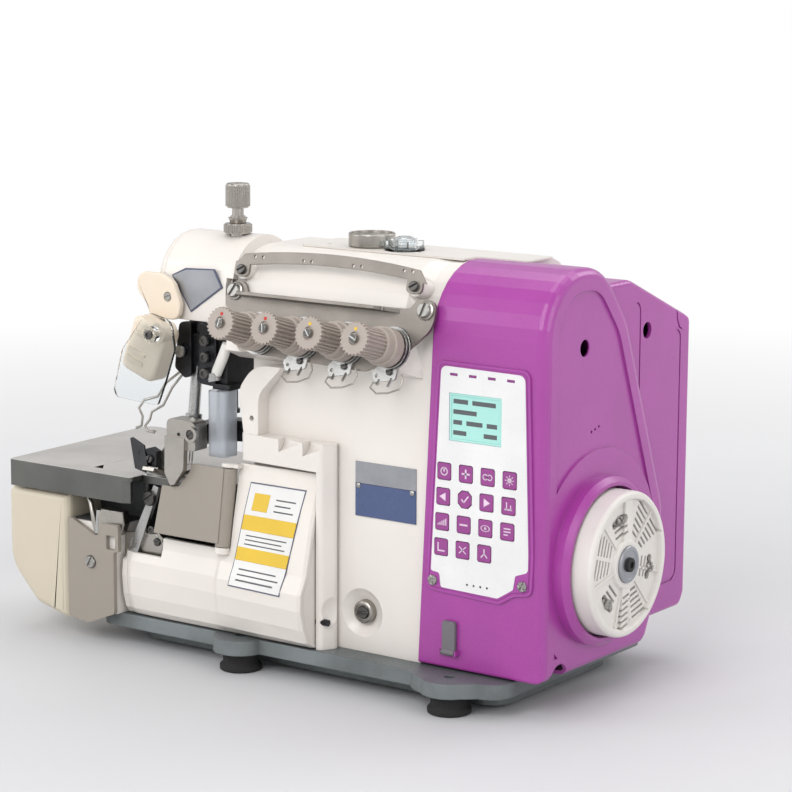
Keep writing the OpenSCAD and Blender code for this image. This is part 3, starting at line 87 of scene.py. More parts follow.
# ------------------------------------------------------------------ materials
class Nodes:
    """Builds one procedural material; each method returns the socket that carries its result."""

    def __init__(self, name):
        self.m = bpy.data.materials.new(name)
        self.m.use_nodes = True
        self.t = self.m.node_tree
        self.t.nodes.clear()
        self.out = self.t.nodes.new("ShaderNodeOutputMaterial")
        self.b = self.t.nodes.new("ShaderNodeBsdfPrincipled")
        self.t.links.new(self.b.outputs[0], self.out.inputs["Surface"])
        self.co = self.t.nodes.new("ShaderNodeTexCoord").outputs["Object"]

    def link(self, a, b):
        self.t.links.new(a, b)

    def put(self, socket, value):
        if hasattr(value, "node"):
            self.link(value, socket)
        else:
            socket.default_value = value

    def noise(self, scale, detail=3.0, rough=0.5, stretch=None):
        n = self.t.nodes.new("ShaderNodeTexNoise")
        n.inputs["Scale"].default_value = scale
        n.inputs["Detail"].default_value = detail
        n.inputs["Roughness"].default_value = rough
        co = self.co
        if stretch:
            mp = self.t.nodes.new("ShaderNodeMapping")
            mp.inputs["Scale"].default_value = stretch
            self.link(self.co, mp.inputs["Vector"])
            co = mp.outputs[0]
        self.link(co, n.inputs["Vector"])
        return n.outputs["Fac"]

    def span(self, fac, a, b, low=0.0, high=1.0):
        n = self.t.nodes.new("ShaderNodeMapRange")
        self.put(n.inputs["Value"], fac)
        n.inputs["From Min"].default_value = low
        n.inputs["From Max"].default_value = high
        n.inputs["To Min"].default_value = a
        n.inputs["To Max"].default_value = b
        return n.outputs[0]

    def mix(self, fac, a, b, how="MIX"):
        n = self.t.nodes.new("ShaderNodeMix")
        n.data_type = "RGBA"
        n.blend_type = how
        self.put(n.inputs[0], fac)
        self.put(n.inputs[6], a if hasattr(a, "node") else (*a, 1.0)[:4])
        self.put(n.inputs[7], b if hasattr(b, "node") else (*b, 1.0)[:4])
        return n.outputs[2]

    def math(self, op, a, b):
        n = self.t.nodes.new("ShaderNodeMath")
        n.operation = op
        self.put(n.inputs[0], a)
        self.put(n.inputs[1], b)
        return n.outputs[0]

    def bevel(self, radius):
        n = self.t.nodes.new("ShaderNodeBevel")
        n.samples = 4
        n.inputs["Radius"].default_value = radius
        return n.outputs[0]

    def bump(self, height, strength, distance, normal=None):
        n = self.t.nodes.new("ShaderNodeBump")
        n.inputs["Strength"].default_value = strength
        n.inputs["Distance"].default_value = distance
        self.link(height, n.inputs["Height"])
        if normal is not None:
            self.link(normal, n.inputs["Normal"])
        return n.outputs[0]

    # ambient occlusion, which the materials use as a mask to paint shade into creases and hollows
    def crease_shade(self, distance):
        n = self.t.nodes.new("ShaderNodeAmbientOcclusion")
        n.samples = 4
        n.inputs["Distance"].default_value = distance
        return n.outputs["AO"]

    def set(self, **kw):
        names = {"color": "Base Color", "rough": "Roughness", "metal": "Metallic", "normal": "Normal",
                 "coat": "Coat Weight", "coat_rough": "Coat Roughness", "ior": "IOR",
                 "transmission": "Transmission Weight", "spec": "Specular IOR Level",
                 "emit": "Emission Color", "glow": "Emission Strength"}
        for k, v in kw.items():
            if isinstance(v, tuple) and len(v) == 3 and k in ("color", "emit"):
                v = (*v, 1.0)
            self.put(self.b.inputs[names[k]], v)
        return self.m


def enamel(name, color, rough=0.32, peel=0.10, edge=0.0008, coat=0.25, painted_shade=0.16):
    """Sprayed enamel on a casting: slight orange peel, with painted shade darkening its creases."""
    n = Nodes(name)
    broad = n.noise(14, 4)
    fine = n.noise(1400, 2)
    dark = tuple(c * 0.96 for c in color)
    col = n.mix(n.span(broad, 0, 1, 0.35, 0.65), color, dark)
    # painted shade: ambient occlusion darkens the colour towards 45% of it in creases and hollows
    col = n.mix(n.math("MULTIPLY", n.span(n.crease_shade(0.012), 1, 0, 0.25, 0.95), painted_shade), col,
                tuple(c * 0.45 for c in color))
    bump = n.bump(fine, peel, 0.0004, n.bevel(edge))
    return n.set(color=col, rough=n.span(n.noise(90, 3), rough - 0.02, rough + 0.04, 0.3, 0.7),
                 normal=bump, coat=coat, coat_rough=0.18)


def moulded(name, color, rough=0.42, grain=0.22, scale=2600, edge=0.0006, spec=0.5, coat=0.0):
    """Injection-moulded plastic with a fine spark-eroded grain."""
    n = Nodes(name)
    tone = n.noise(30, 3)
    fine = n.noise(scale, 2, 0.6)
    col = n.mix(n.span(tone, 0, 1, 0.35, 0.65), color, tuple(c * 0.93 for c in color))
    bump = n.bump(fine, grain, 0.0003, n.bevel(edge))
    return n.set(color=col, rough=n.span(fine, rough - 0.05, rough + 0.08, 0.3, 0.7), normal=bump,
                 spec=spec, coat=coat, coat_rough=0.25)


def metal(name, color, rough=0.25, brush=(1, 1, 1), scale=900, edge=0.0004, marks=0.12, spots=0.0):
    """Bare or plated metal, brushed along the axis that brush makes shorter."""
    n = Nodes(name)
    lines = n.noise(scale, 4, 0.65, brush)
    haze = n.noise(45, 4)
    col = n.mix(n.span(haze, 0, 1, 0.35, 0.7), color, tuple(c * 0.80 for c in color))
    if spots:
        col = n.mix(n.span(n.noise(420, 5), 0, spots, 0.58, 0.72), col, tuple(c * 0.4 for c in color))
    bump = n.bump(lines, marks, 0.0002, n.bevel(edge))
    return n.set(color=col, metal=1.0, rough=n.span(lines, rough - 0.07, rough + 0.10, 0.3, 0.7),
                 normal=bump)


def clear(name, color, rough=0.04, through=1.0):
    """Clear or frosted sheet plastic with fine scuffs."""
    n = Nodes(name)
    scuff = n.noise(260, 5, 0.6, (1, 1, 6))
    return n.set(color=n.mix(n.span(n.noise(20), 0, 0.4, 0.3, 0.7), color, tuple(c * 0.94 for c in color)),
                 rough=n.span(scuff, rough, rough + 0.10, 0.45, 0.75), transmission=through, ior=1.3)


def casting(name, color):
    """Grey iron casting: coarse sand texture, with painted shade darkening its hollows."""
    n = Nodes(name)
    sand = n.noise(520, 6, 0.65)
    broad = n.noise(22, 4)
    col = n.mix(n.span(broad, 0, 1, 0.35, 0.65), color, tuple(c * 0.6 for c in color))
    # painted shade: ambient occlusion darkens the colour towards 35% of it in hollows
    col = n.mix(n.span(n.crease_shade(0.02), 0.5, 0, 0.2, 0.9), col, tuple(c * 0.35 for c in color))
    return n.set(color=col, metal=0.35, rough=n.span(sand, 0.38, 0.62, 0.3, 0.7),
                 normal=n.bump(sand, 0.35, 0.0006, n.bevel(0.001)))


# heights in metres between which the cloth plates' edge turns into their ground top
PLATE_TOP = (0.1116, 0.1119)


def ground_plate(name):
    """Steel plate with a bright ground top and a darker, browned edge."""
    n = Nodes(name)
    lines = n.noise(3000, 4, 0.6, (0.2, 1, 1))
    z = n.t.nodes.new("ShaderNodeSeparateXYZ")
    n.link(n.co, z.inputs[0])
    top = n.span(z.outputs["Z"], 0, 1, *PLATE_TOP)
    haze = n.span(n.noise(30, 4), 0, 1, 0.35, 0.7)
    col = n.mix(top, n.mix(haze, (0.17, 0.172, 0.16), (0.13, 0.132, 0.125)),
                n.mix(haze, (0.60, 0.575, 0.555), (0.50, 0.48, 0.465)))
    return n.set(color=col, metal=n.span(top, 1.0, 0.6), rough=n.span(lines, 0.30, 0.46, 0.3, 0.7),
                 normal=n.bump(lines, 0.05, 0.0002, n.bevel(0.0004)))


def liquid_crystal(name):
    """Reflective liquid-crystal panel: pale green with a faint grid of cells."""
    n = Nodes(name)
    mp = n.t.nodes.new("ShaderNodeMapping")
    mp.inputs["Scale"].default_value = (1400, 1, 1400)
    n.link(n.co, mp.inputs["Vector"])
    ch = n.t.nodes.new("ShaderNodeTexChecker")
    ch.inputs["Scale"].default_value = 1.0
    n.link(mp.outputs[0], ch.inputs["Vector"])
    col = n.mix(ch.outputs["Fac"], (0.37, 0.72, 0.65), (0.41, 0.78, 0.71))
    col = n.mix(n.span(n.noise(40), 0, 0.5, 0.3, 0.7), col, (0.35, 0.70, 0.65))
    return n.set(color=col, rough=0.16, normal=n.bevel(0.0004), coat=0.6, coat_rough=0.05)


# one entry for each material slot of the record, then those that only pieces use
M = {
    "casting_cream": enamel("casting cream", (0.78, 0.735, 0.69)),
    "cover_cream": enamel("cover cream", (0.76, 0.715, 0.665), 0.30, 0.08),
    "left_cover_cream": enamel("left cover cream", (0.60, 0.535, 0.42), 0.34, 0.08),
    "beige_paint": enamel("beige paint", (0.31, 0.275, 0.235), 0.36, 0.10, 0.0005, 0.15),
    "base_iron": casting("base iron", (0.22, 0.245, 0.25)),
    "cushion_rubber": moulded("cushion rubber", (0.022, 0.022, 0.022), 0.75, 0.35, 900, 0.001, 0.3),
    "purple_plastic": moulded("purple plastic", (0.36, 0.043, 0.315), 0.30, 0.16, 2600, 0.0008, 0.5, 0.45),
    "panel_white": moulded("panel violet", (0.37, 0.06, 0.335), 0.38, 0.12, 2200, 0.0004),
    "key_violet": moulded("key violet", (0.30, 0.055, 0.26), 0.42, 0.12, 1800, 0.0006),
    "steel_bright": metal("steel bright", (0.50, 0.50, 0.49), 0.27, (1, 1, 0.3), 3600, 0.0004, 0.05),
    "nickel": metal("nickel", (0.45, 0.425, 0.39), 0.30, (1, 1, 0.6), 3200, 0.0004, 0.06),
    "black_oxide": metal("black oxide", (0.055, 0.056, 0.06), 0.33, (1, 1, 1), 500, 0.0006, 0.3, 0.5),
    "guide_grey": metal("guide grey", (0.29, 0.265, 0.24), 0.38, (0.3, 1, 1), 3000, 0.0004, 0.05),
    "knob_tan": moulded("knob tan", (0.40, 0.345, 0.305), 0.46, 0.18, 2200, 0.0004),
    "wheel_ivory": moulded("wheel ivory", (0.745, 0.715, 0.675), 0.42, 0.15, 2000, 0.0006),
    "motor_grey": casting("motor grey", (0.09, 0.095, 0.10)),
    "lamp_ivory": moulded("lamp ivory", (0.80, 0.69, 0.56), 0.36, 0.10, 1800, 0.0006),
    "clear_plastic": clear("clear plastic", (0.93, 0.96, 0.97)),
    "frosted_plastic": clear("frosted plastic", (0.86, 0.89, 0.93), 0.30, through=0.8),
    "flap_grey": moulded("flap grey", (0.16, 0.15, 0.165), 0.55, 0.2, 1600, 0.0005),
    "panel_film": moulded("panel film", (0.80, 0.80, 0.80), 0.30, 0.05, 1500, 0.0002),
    "badge_silver": metal("badge silver", (0.40, 0.41, 0.44), 0.36, (0.1, 1, 1), 4000, 0.0002, 0.03),
    "plate_blue": enamel("plate blue", (0.055, 0.085, 0.20), 0.28, 0.04, 0.0002, 0.3),
    "rim_dark": enamel("rim dark", (0.07, 0.08, 0.14), 0.35, 0.05, 0.0002),
    "dark_screw": metal("dark screw", (0.13, 0.125, 0.12), 0.30, (1, 1, 1), 2500, 0.0003, 0.08),
    "bright_screw": metal("bright screw", (0.42, 0.41, 0.39), 0.28, (1, 1, 1), 2500, 0.0003, 0.06),
    "slot_black": moulded("slot black", (0.012, 0.012, 0.012), 0.6, 0.2, 900, 0.0002),
    "felt_white": moulded("felt white", (0.82, 0.80, 0.76), 0.9, 0.8, 1500, 0.0004, 0.2),
    "mark_red": moulded("mark red", (0.60, 0.03, 0.02), 0.5, 0.1),
    "mark_yellow": moulded("mark yellow", (0.75, 0.50, 0.04), 0.5, 0.1),
    "print_grey": moulded("print grey", (0.10, 0.11, 0.12), 0.5, 0.05),
    "print_pink": moulded("print pink", (0.80, 0.62, 0.78), 0.5, 0.05),
    "label_white": moulded("label white", (0.78, 0.775, 0.76), 0.5, 0.05, 1500, 0.0002),
    "steel_plate": ground_plate("steel plate"),
    "lcd_glass": liquid_crystal("lcd"),
}

slot_of = {part["node"]: part["material_slot"] for part in frame["record"]["subparts"]}
for name, ob in nodes.items():
    if not ob.material_slots:
        ob.data.materials.append(None)
    for slot in ob.material_slots:
        slot.link = "OBJECT"
        slot.material = M[slot_of[name]]


# ------------------------------------------------------------------ pieces
def piece(name, verts, faces, body, mat, smooth=False):
    """A mesh of its own that rides on a body of the frame."""
    me = bpy.data.meshes.new(name)
    me.from_pydata([tuple(v) for v in verts], [], faces)
    bm = bmesh.new()
    bm.from_mesh(me)
    bmesh.ops.recalc_face_normals(bm, faces=bm.faces)
    bm.to_mesh(me)
    bm.free()
    me.materials.append(M[mat])
    ob = bpy.data.objects.new(name, me)
    scene.collection.objects.link(ob)
    if smooth:
        for p in me.polygons:
            p.use_smooth = True
        me.set_sharp_from_angle(angle=math.radians(40))
    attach(ob, body)
    return ob


def basis(axis, along=None):
    """Right-handed axes with the third along axis."""
    w = Vector(axis).normalized()
    u = Vector(along) if along else Vector((1, 0, 0)) if abs(w.x) < 0.9 else Vector((0, 1, 0))
    u = (u - w * u.dot(w)).normalized()
    return u, w.cross(u), w


def join(parts):
    """One list of corners and faces from several."""
    verts, faces = [], []
    for v, f in parts:
        k = len(verts)
        verts += v
        faces += [[i + k for i in q] for q in f]
    return verts, faces


def walls(rings, n):
    """The faces between neighbouring rings of n corners each."""
    return [[j * n + i, j * n + (i + 1) % n, (j + 1) * n + (i + 1) % n, (j + 1) * n + i]
            for j in range(rings - 1) for i in range(n)]


def caps(rings, n):
    """The faces that close the first and the last ring."""
    return [list(range(n))[::-1], [(rings - 1) * n + i for i in range(n)]]


def revolve(at, axis, profile, n=32):
    """A closed form turned from a profile of (radius, height) pairs in millimetres."""
    u, v, w = basis(axis)
    verts = []
    for r, h in profile:
        for i in range(n):
            a = 2 * math.pi * i / n
            verts.append(at + (u * math.cos(a) * r + v * math.sin(a) * r + w * h) / 1000)
    return verts, walls(len(profile), n) + caps(len(profile), n)


def prism(at, axis, outline, h0, h1, along=None, chamfer=0.0):
    """A prism over an outline in millimetres, with its top edge chamfered."""
    u, v, w = basis(axis, along)
    cx = sum(p[0] for p in outline) / len(outline)
    cy = sum(p[1] for p in outline) / len(outline)
    rings = [(0, h0), (0, h1 - chamfer), (chamfer, h1)] if chamfer else [(0, h0), (0, h1)]
    n = len(outline)
    verts = []
    for inset, h in rings:
        for x, y in outline:
            d = math.hypot(x - cx, y - cy) or 1
            k = (d - inset) / d
            verts.append(at + (u * (cx + (x - cx) * k) + v * (cy + (y - cy) * k) + w * h) / 1000)
    return verts, walls(len(rings), n) + caps(len(rings), n)


def arc(r, a0, a1, n):
    """Points on a circle of radius r between two angles in degrees."""
    return [(r * math.cos(math.radians(a0 + (a1 - a0) * i / n)),
             r * math.sin(math.radians(a0 + (a1 - a0) * i / n))) for i in range(n + 1)]


def screw(name, at, axis, r, body, mat, kind, turn, h):
    """A screw head: a low drum with a slot, a cross or a six-sided socket standing open in it."""
    t = math.radians(turn)
    u, v, w = basis(axis)
    along = u * math.cos(t) + v * math.sin(t)
    parts = [revolve(at, axis, [(r, 0), (r, h * 0.45), (r * 0.97, h * 0.5)], 28)]
    if kind == "slot":
        half = math.degrees(math.asin(0.16))
        for k in (0, 180):
            parts.append(prism(at, axis, arc(r * 0.97, k + half, k + 180 - half, 14), h * 0.45, h,
                               along, r * 0.14))
    elif kind == "cross":
        for k in range(4):
            q = arc(r * 0.97, 90 * k + 10, 90 * k + 80, 8)
            a = math.radians(90 * k + 45)
            c = (0.22 * r * math.cos(a), 0.22 * r * math.sin(a))
            parts.append(prism(at, axis, q + [c], h * 0.45, h, along, r * 0.12))
    else:
        n = 24
        socket = []
        for i in range(n):
            a = 360 * i / n
            reach = 0.52 * r * math.cos(math.radians(30)) / math.cos(math.radians((a % 60) - 30))
            socket.append((reach * math.cos(math.radians(a)), reach * math.sin(math.radians(a))))
        across = w.cross(along)
        verts = []
        # up the outside, over the rim and down the socket, whose radius isn't a circle's
        for rr, hh in ((r * 0.97, h * 0.45), (r * 0.97, h * 0.9), (r * 0.86, h), (0, h), (0, h * 0.45)):
            for i in range(n):
                a = math.radians(360 * i / n)
                x, y = (rr * math.cos(a), rr * math.sin(a)) if rr else socket[i]
                verts.append(at + (along * x + across * y + w * hh) / 1000)
        parts.append((verts, walls(5, n)))
    return piece(name, *join(parts), body, mat, True)


def turned(name, at, axis, profile, n, body, mat, smooth=True):
    """A piece turned from a profile."""
    return piece(name, *revolve(at, axis, profile, n), body, mat, smooth)


def tube(name, points, r, body, mat, sides=12, taper=None):
    """A bent wire or rod of radius r through points, in metres."""
    pts = [Vector(p) for p in points]
    verts = []
    prev = None
    for i, p in enumerate(pts):
        d = (pts[min(i + 1, len(pts) - 1)] - pts[max(i - 1, 0)]).normalized()
        u = prev if prev is not None else (Vector((0, 0, 1)) if abs(d.z) < 0.9 else Vector((1, 0, 0)))
        u = (u - d * u.dot(d)).normalized()
        prev = u
        v = d.cross(u)
        rr = (r * (taper[i] if taper else 1)) / 1000
        for k in range(sides):
            a = 2 * math.pi * k / sides
            verts.append(p + (u * math.cos(a) + v * math.sin(a)) * rr)
    return piece(name, verts, walls(len(pts), sides) + caps(len(pts), sides), body, mat, True)


def spring(name, at, axis, r, length, turns, wire, body, mat):
    """A coil of radius r that winds turns times over its length."""
    u, v, w = basis(axis)
    pts = []
    n = int(turns * 16)
    for i in range(n + 1):
        a = 2 * math.pi * turns * i / n
        pts.append(at + (u * math.cos(a) * r + v * math.sin(a) * r + w * length * i / n) / 1000)
    return tube(name, pts, wire, body, mat, 8)


# ------------------------------------------------------------------ front of the arm
LEFT_EAR, RIGHT_EAR, EAR_S = -134, 6, 44
for name, x, turn in (("ear_screw_left", LEFT_EAR, 62), ("ear_screw_right", RIGHT_EAR, 75)):
    turned(name + "_washer", front(x, EAR_S, 2.45), NORMAL, [(5.6, 0), (5.6, 0.8), (5.2, 1.1)], 36,
           "machine", "nickel")
    screw(name, front(x, EAR_S, 3.5), NORMAL, 4.4, "machine", "bright_screw", "slot", turn, 2.4)

KNOB_S = 20
KNOB_X = [-110 + 32.5 * i for i in range(4)]
# height of the knobs' ends over the slope: gap, plate, disc stack and knob
KNOB_FACE = 0.4 + 2 + 5 + 34
DOT_R, DOT_OUT, DOT_SIDES = 1.1, 5.6, 14
knob_dot = [(DOT_R * math.cos(a), DOT_OUT + DOT_R * math.sin(a))
            for a in [2 * math.pi * k / DOT_SIDES for k in range(DOT_SIDES)]]
for i, x in enumerate(KNOB_X):
    number = i + 1
    # the stud's slotted end stands in the counterbore of its knob
    screw("stud_end_%d" % number, front(x, KNOB_S, KNOB_FACE - 0.9), NORMAL, 2.45, "machine", "dark_screw",
          "slot", 80 + 25 * i, 3.2)
    v, f = prism(front(x, KNOB_S, KNOB_FACE), NORMAL, knob_dot, -0.2, 0.12, (1, 0, 0))
    piece("knob_dot_%d" % number, v, f, "tension_knob_%d" % number, "mark_red" if i < 2 else "mark_yellow")
    # tension spring seen between the knob's collar and the discs
    spring("tension_spring_%d" % number, front(x, KNOB_S, 2.6), NORMAL, 10.4, 4.6, 2.6, 0.5, "machine",
           "nickel")

# check springs of the three right-hand tension units, in front of the hooks under the discs
CHECK_BENDS = ((10, -14, 4), (12, -18, 4.6), (11, -23, 5.4), (4, -26, 6), (-4, -27, 6), (-9, -24, 5.6),
               (-8, -21, 5), (-4, -21, 4.6))
for i in (1, 2, 3):
    x = KNOB_X[i]
    tube("check_spring_%d" % i, [front(x + dx, KNOB_S + ds, dd) for dx, ds, dd in CHECK_BENDS],
         0.55, "machine", "nickel", 8)
    screw("hook_screw_%d" % i, front(x + 1.5, KNOB_S - 13.5, 3.8), NORMAL, 2.1, "machine", "dark_screw",
          "slot", 15, 1.6)

# screws of the upper thread guide on its two bosses
for name, x in (("guide_screw_left", -130), ("guide_screw_right", -3)):
    screw(name, front(x, 57, 5.0), NORMAL, 3.1, "machine", "dark_screw", "slot", 30, 2.0)

# ------------------------------------------------------------------ badge and name plate, both bare
badge = [(-183, 217), (-172, 222), (-149, 223), (-143, 212), (-168, 195)]


def plate(name, corners, y, t, mat, inset=0.0, chamfer=0.2):
    """A sheet on a front face of the machine, its corners given as X and Z."""
    along = (1, 0, 0)
    cx = sum(c[0] for c in corners) / len(corners)
    cz = sum(c[1] for c in corners) / len(corners)
    u, v, w = basis(FACE, along)
    pts = []
    for x, z in corners:
        d = Vector((x - cx, 0, z - cz))
        k = (d.length - inset) / d.length
        pts.append((d.dot(u) * k, d.dot(v) * k))
    return piece(name, *prism(D(cx, y, cz), FACE, pts, 0, t, along, chamfer), "machine", mat)


def box(x0, x1, z0, z1):
    """The corners of an upright rectangle, clockwise from its top left one."""
    return [(x0, z1), (x1, z1), (x1, z0), (x0, z0)]


plate("badge_rim", badge, -7.02, 0.7, "rim_dark")
plate("badge_field", badge, -7.5, 0.45, "badge_silver", 1.3)
plate("name_plate_top", box(-48, -4, 103, 116), 0.02, 0.7, "badge_silver")
plate("name_plate_field", box(-48, -4, 83, 102.8), 0.02, 0.72, "plate_blue")
for k, x in enumerate((-45.5, -6.5)):
    turned("name_plate_rivet_%d" % (k + 1), D(x, -0.7, 101.5), FACE,
           [(1.6, 0), (1.6, 0.5), (1.1, 0.9), (0.4, 1.05)], 18, "machine", "bright_screw")

# ------------------------------------------------------------------ control panel
PANEL_Y, KEY_Y = -4.2, -4.5


def rounded(corners, n=6):
    """Corners (x, z, radius) with each one rounded."""
    out = []
    m = len(corners)
    for i, (x, z, r) in enumerate(corners):
        p = Vector((x, z))
        a = (Vector(corners[i - 1][:2]) - p).normalized()
        b = (Vector(corners[(i + 1) % m][:2]) - p).normalized()
        half = a.angle(b) / 2
        d = r / math.tan(half)
        c = p + (a + b).normalized() * r / math.sin(half)
        s, e = p + a * d, p + b * d
        for k in range(n + 1):
            t = k / n
            q = (s - c).lerp(e - c, t)
            out.append(tuple(c + q.normalized() * r) if r > 0 and q.length else tuple(p))
            if r == 0:
                break
    return out


def film(name, outline, holes, y, t, body, mat):
    """A flat sheet with holes facing forward, its outlines given as X and Z; a filled curve cuts them."""
    cu = bpy.data.curves.new(name + "_outline", "CURVE")
    cu.dimensions = "2D"
    cu.fill_mode = "BOTH"
    cu.extrude = t / 2000
    for line in [outline] + holes:
        sp = cu.splines.new("POLY")
        sp.points.add(len(line) - 1)
        sp.use_cyclic_u = True
        for pt, (x, z) in zip(sp.points, line):
            q = D(x, 0, z)
            pt.co = (q.x, q.z, 0, 1)
    tmp = bpy.data.objects.new(name + "_outline", cu)
    scene.collection.objects.link(tmp)
    me = bpy.data.meshes.new_from_object(tmp.evaluated_get(bpy.context.evaluated_depsgraph_get()))
    bpy.data.objects.remove(tmp)
    yy = D(0, y - t / 2, 0).y
    me.transform(Matrix(((1, 0, 0, 0), (0, 0, -1, yy), (0, 1, 0, 0), (0, 0, 0, 1))))
    me.name = name
    me.materials.clear()
    me.materials.append(M[mat])
    ob = bpy.data.objects.new(name, me)
    scene.collection.objects.link(ob)
    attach(ob, body)
    return ob


KEY_X, KEY_Z, KEY_STEP, KEY_SHIFT = 18.5, 118.5, 15, 0.6


def key_at(r, c):
    """Middle of the key in row r and column c; the rows shift a little to the left on their way down."""
    return KEY_X + KEY_STEP * c - KEY_SHIFT * r, KEY_Z - KEY_STEP * r


# white film on the panel, notched round its screws, with the keys and the display standing in it
LIGHT_X = [22.2 + 13 * i for i in range(4)]
LIGHT_W, LIGHT_LOW, LIGHT_HIGH, LIGHT_GAP = 4.6, 175.15, 176.25, 0.25
windows = [box(21.5, 57.5, 137, 165)[::-1]]
for r in range(4):
    for c in range(3 if r == 3 else 4):
        x, z = key_at(r, c)
        w, h, cut = 4.9, 5.25, 2.6 if (r, c) == (1, 1) else 0.9
        windows.append([(x - w + cut, z - h), (x + w - cut, z - h), (x + w, z - h + cut),
                        (x + w, z + h - cut), (x + w - cut, z + h), (x - w + cut, z + h),
                        (x - w, z + h - cut), (x - w, z - h + cut)])
for x in LIGHT_X:
    windows.append(box(x - 0.3, x + LIGHT_W + 0.3, LIGHT_LOW - LIGHT_GAP, LIGHT_HIGH + LIGHT_GAP)[::-1])
film("panel_film", rounded([(9.5, 58.5, 1.5), (15.5, 58, 2), (16.5, 49.5, 1.5), (56, 48.5, 2), (66.5, 55, 2),
                            (68, 63.5, 2), (76.5, 66.5, 3), (76.6, 77, 6), (73, 179.6, 4), (15.8, 180.2, 4)]),
     windows, PANEL_Y + 0.02, 0.16, "machine", "panel_film")
for k, (x, z) in enumerate(((11, 53), (73, 58))):
    screw("panel_screw_%d" % (k + 1), D(x, PANEL_Y + 0.05, z), FACE, 3.1, "machine", "bright_screw", "cross",
          25 + 30 * k, 1.5)
for i, x in enumerate(LIGHT_X):
    plate("panel_light_%d" % (i + 1), box(x, x + LIGHT_W, LIGHT_LOW, LIGHT_HIGH), -3.85, 0.25, "key_violet")
    turned("panel_dot_%d" % (i + 1), D(35 + 4.6 * i, PANEL_Y, 53.5), FACE,
           [(0.75, -0.1), (0.75, 0.12), (0.55, 0.2)], 12, "machine", "slot_black", False)
# bars in place of the display's words
BAR_Z, BAR_STEP, BAR_HALF = 160.2, 6.1, 1.3
rows = [(24, 34), (37, 53)], [(24, 40)], [(24, 30), (33, 44), (47, 54)], [(24, 33), (45, 54)]
for r, spans in enumerate(rows):
    z = BAR_Z - BAR_STEP * r
    for k, (a, b) in enumerate(spans):
        plate("display_bar_%d_%d" % (r + 1, k + 1), box(a, b, z - BAR_HALF, z + BAR_HALF), -3.58, 0.1,
              "print_grey", chamfer=0)


def bar(x0, z0, x1, z1, w):
    """A straight stroke, w wide."""
    n = Vector((z0 - z1, x1 - x0)).normalized() * w / 2
    return [(x0 + n.x, z0 + n.y), (x0 - n.x, z0 - n.y), (x1 - n.x, z1 - n.y), (x1 + n.x, z1 + n.y)]


def ring(r, w, n=20):
    """The short strokes of a circle whose line is w wide."""
    return [[(rr * math.cos(a), rr * math.sin(a)) for rr, a in
             ((r, 2 * math.pi * k / n), (r, 2 * math.pi * (k + 1) / n),
              (r - w, 2 * math.pi * (k + 1) / n), (r - w, 2 * math.pi * k / n))] for k in range(n)]


# generic marks on the keys, each a simple sign of its own
rays = [bar(1.9 * math.cos(a), 1.9 * math.sin(a), 3.1 * math.cos(a), 3.1 * math.sin(a), 0.6)
        for a in [math.pi * k / 4 for k in range(8)]]
signs = {
    (0, 0): ring(2.6, 0.8) + [bar(0, 2.2, 0, -0.2, 0.9)],
    (0, 1): [bar(-2.8, 0, 2.8, 0, 1.1), bar(0, -2.8, 0, 2.8, 1.1)],
    (0, 2): [[(x + dx, y) for x, y in q] for dx in (-1.5, 1.5) for q in ring(1.9, 0.7)],
    (0, 3): ring(1.5, 1.49) + rays,
    (1, 0): [[(-2.6, 0), (1.8, -2.6), (1.8, 2.6)]],
    (1, 1): [bar(-2.2, 0, -0.6, -1.8, 0.9), bar(-0.6, -1.8, 2.6, 2.2, 0.9)],
    (1, 2): [[(2.6, 0), (-1.8, 2.6), (-1.8, -2.6)]],
    (1, 3): [bar(-2.6, -2, 2.6, -2, 0.8), bar(-1.2, -2, -1.2, 2.4, 0.8), bar(1.6, -2, 1.6, 0.8, 0.8)],
    (2, 0): [bar(-2.7 + 1.35 * k, -2, -2.7 + 1.35 * k, -1 + 0.8 * k, 0.8) for k in range(5)],
    (2, 1): [bar(-2.8, 0, 2.8, 0, 1.1)],
    (2, 2): [[(x * 1.25, y * 0.75) for x, y in q] for q in ring(2.6, 0.6)] + ring(0.9, 0.89),
    (2, 3): [bar(-2.4, 1.8, 2.4, 1.8, 0.8), bar(-2.4, 0, 2.4, 0, 0.8), bar(-2.4, -1.8, 0.6, -1.8, 0.8)],
    (3, 0): [bar(-2, 2.6, -2, -1.8, 0.9), bar(-2.4, -2.2, 2.6, -2.2, 0.9)],
    (3, 1): [bar(-2.4, -2, 2.4, 2.2, 0.7), bar(-2.4, 2.2, 2.4, -2, 0.7)],
    (3, 2): [bar(0, 2.8, 0, 0, 0.9), bar(0, 0, -2.2, -2.4, 0.8), bar(0, 0, 2.2, -2.4, 0.8)],
}
for (r, c), strokes in signs.items():
    x, z = key_at(r, c)
    key = "%d_%d" % (r + 1, c + 1)
    v, f = join([prism(D(x, KEY_Y, z), FACE, q, -0.1, 0.09, (1, 0, 0)) for q in strokes])
    piece("key_sign_" + key, v, f, "key_" + key, "print_pink")

# ------------------------------------------------------------------ handwheel
AXLE = (1, 0, 0)
WHEEL_FACE, AXLE_Y, AXLE_Z = 107, 57, 64
SCREW_RING, FIRST_SCREW = 28, 106


def wheel(depth, r=0.0, turn=0.0):
    """A point depth behind the wheel's rim, r from the axle at an angle in degrees."""
    a = math.radians(turn)
    return D(WHEEL_FACE - depth, AXLE_Y + r * math.cos(a), AXLE_Z + r * math.sin(a))


turned("hub_disc", wheel(1.55), AXLE,
       [(10.9, 0), (10.9, 1.5), (10.5, 1.9), (8.6, 2.0), (8.3, 1.6), (4.6, 1.5)], 48, "drive", "badge_silver")
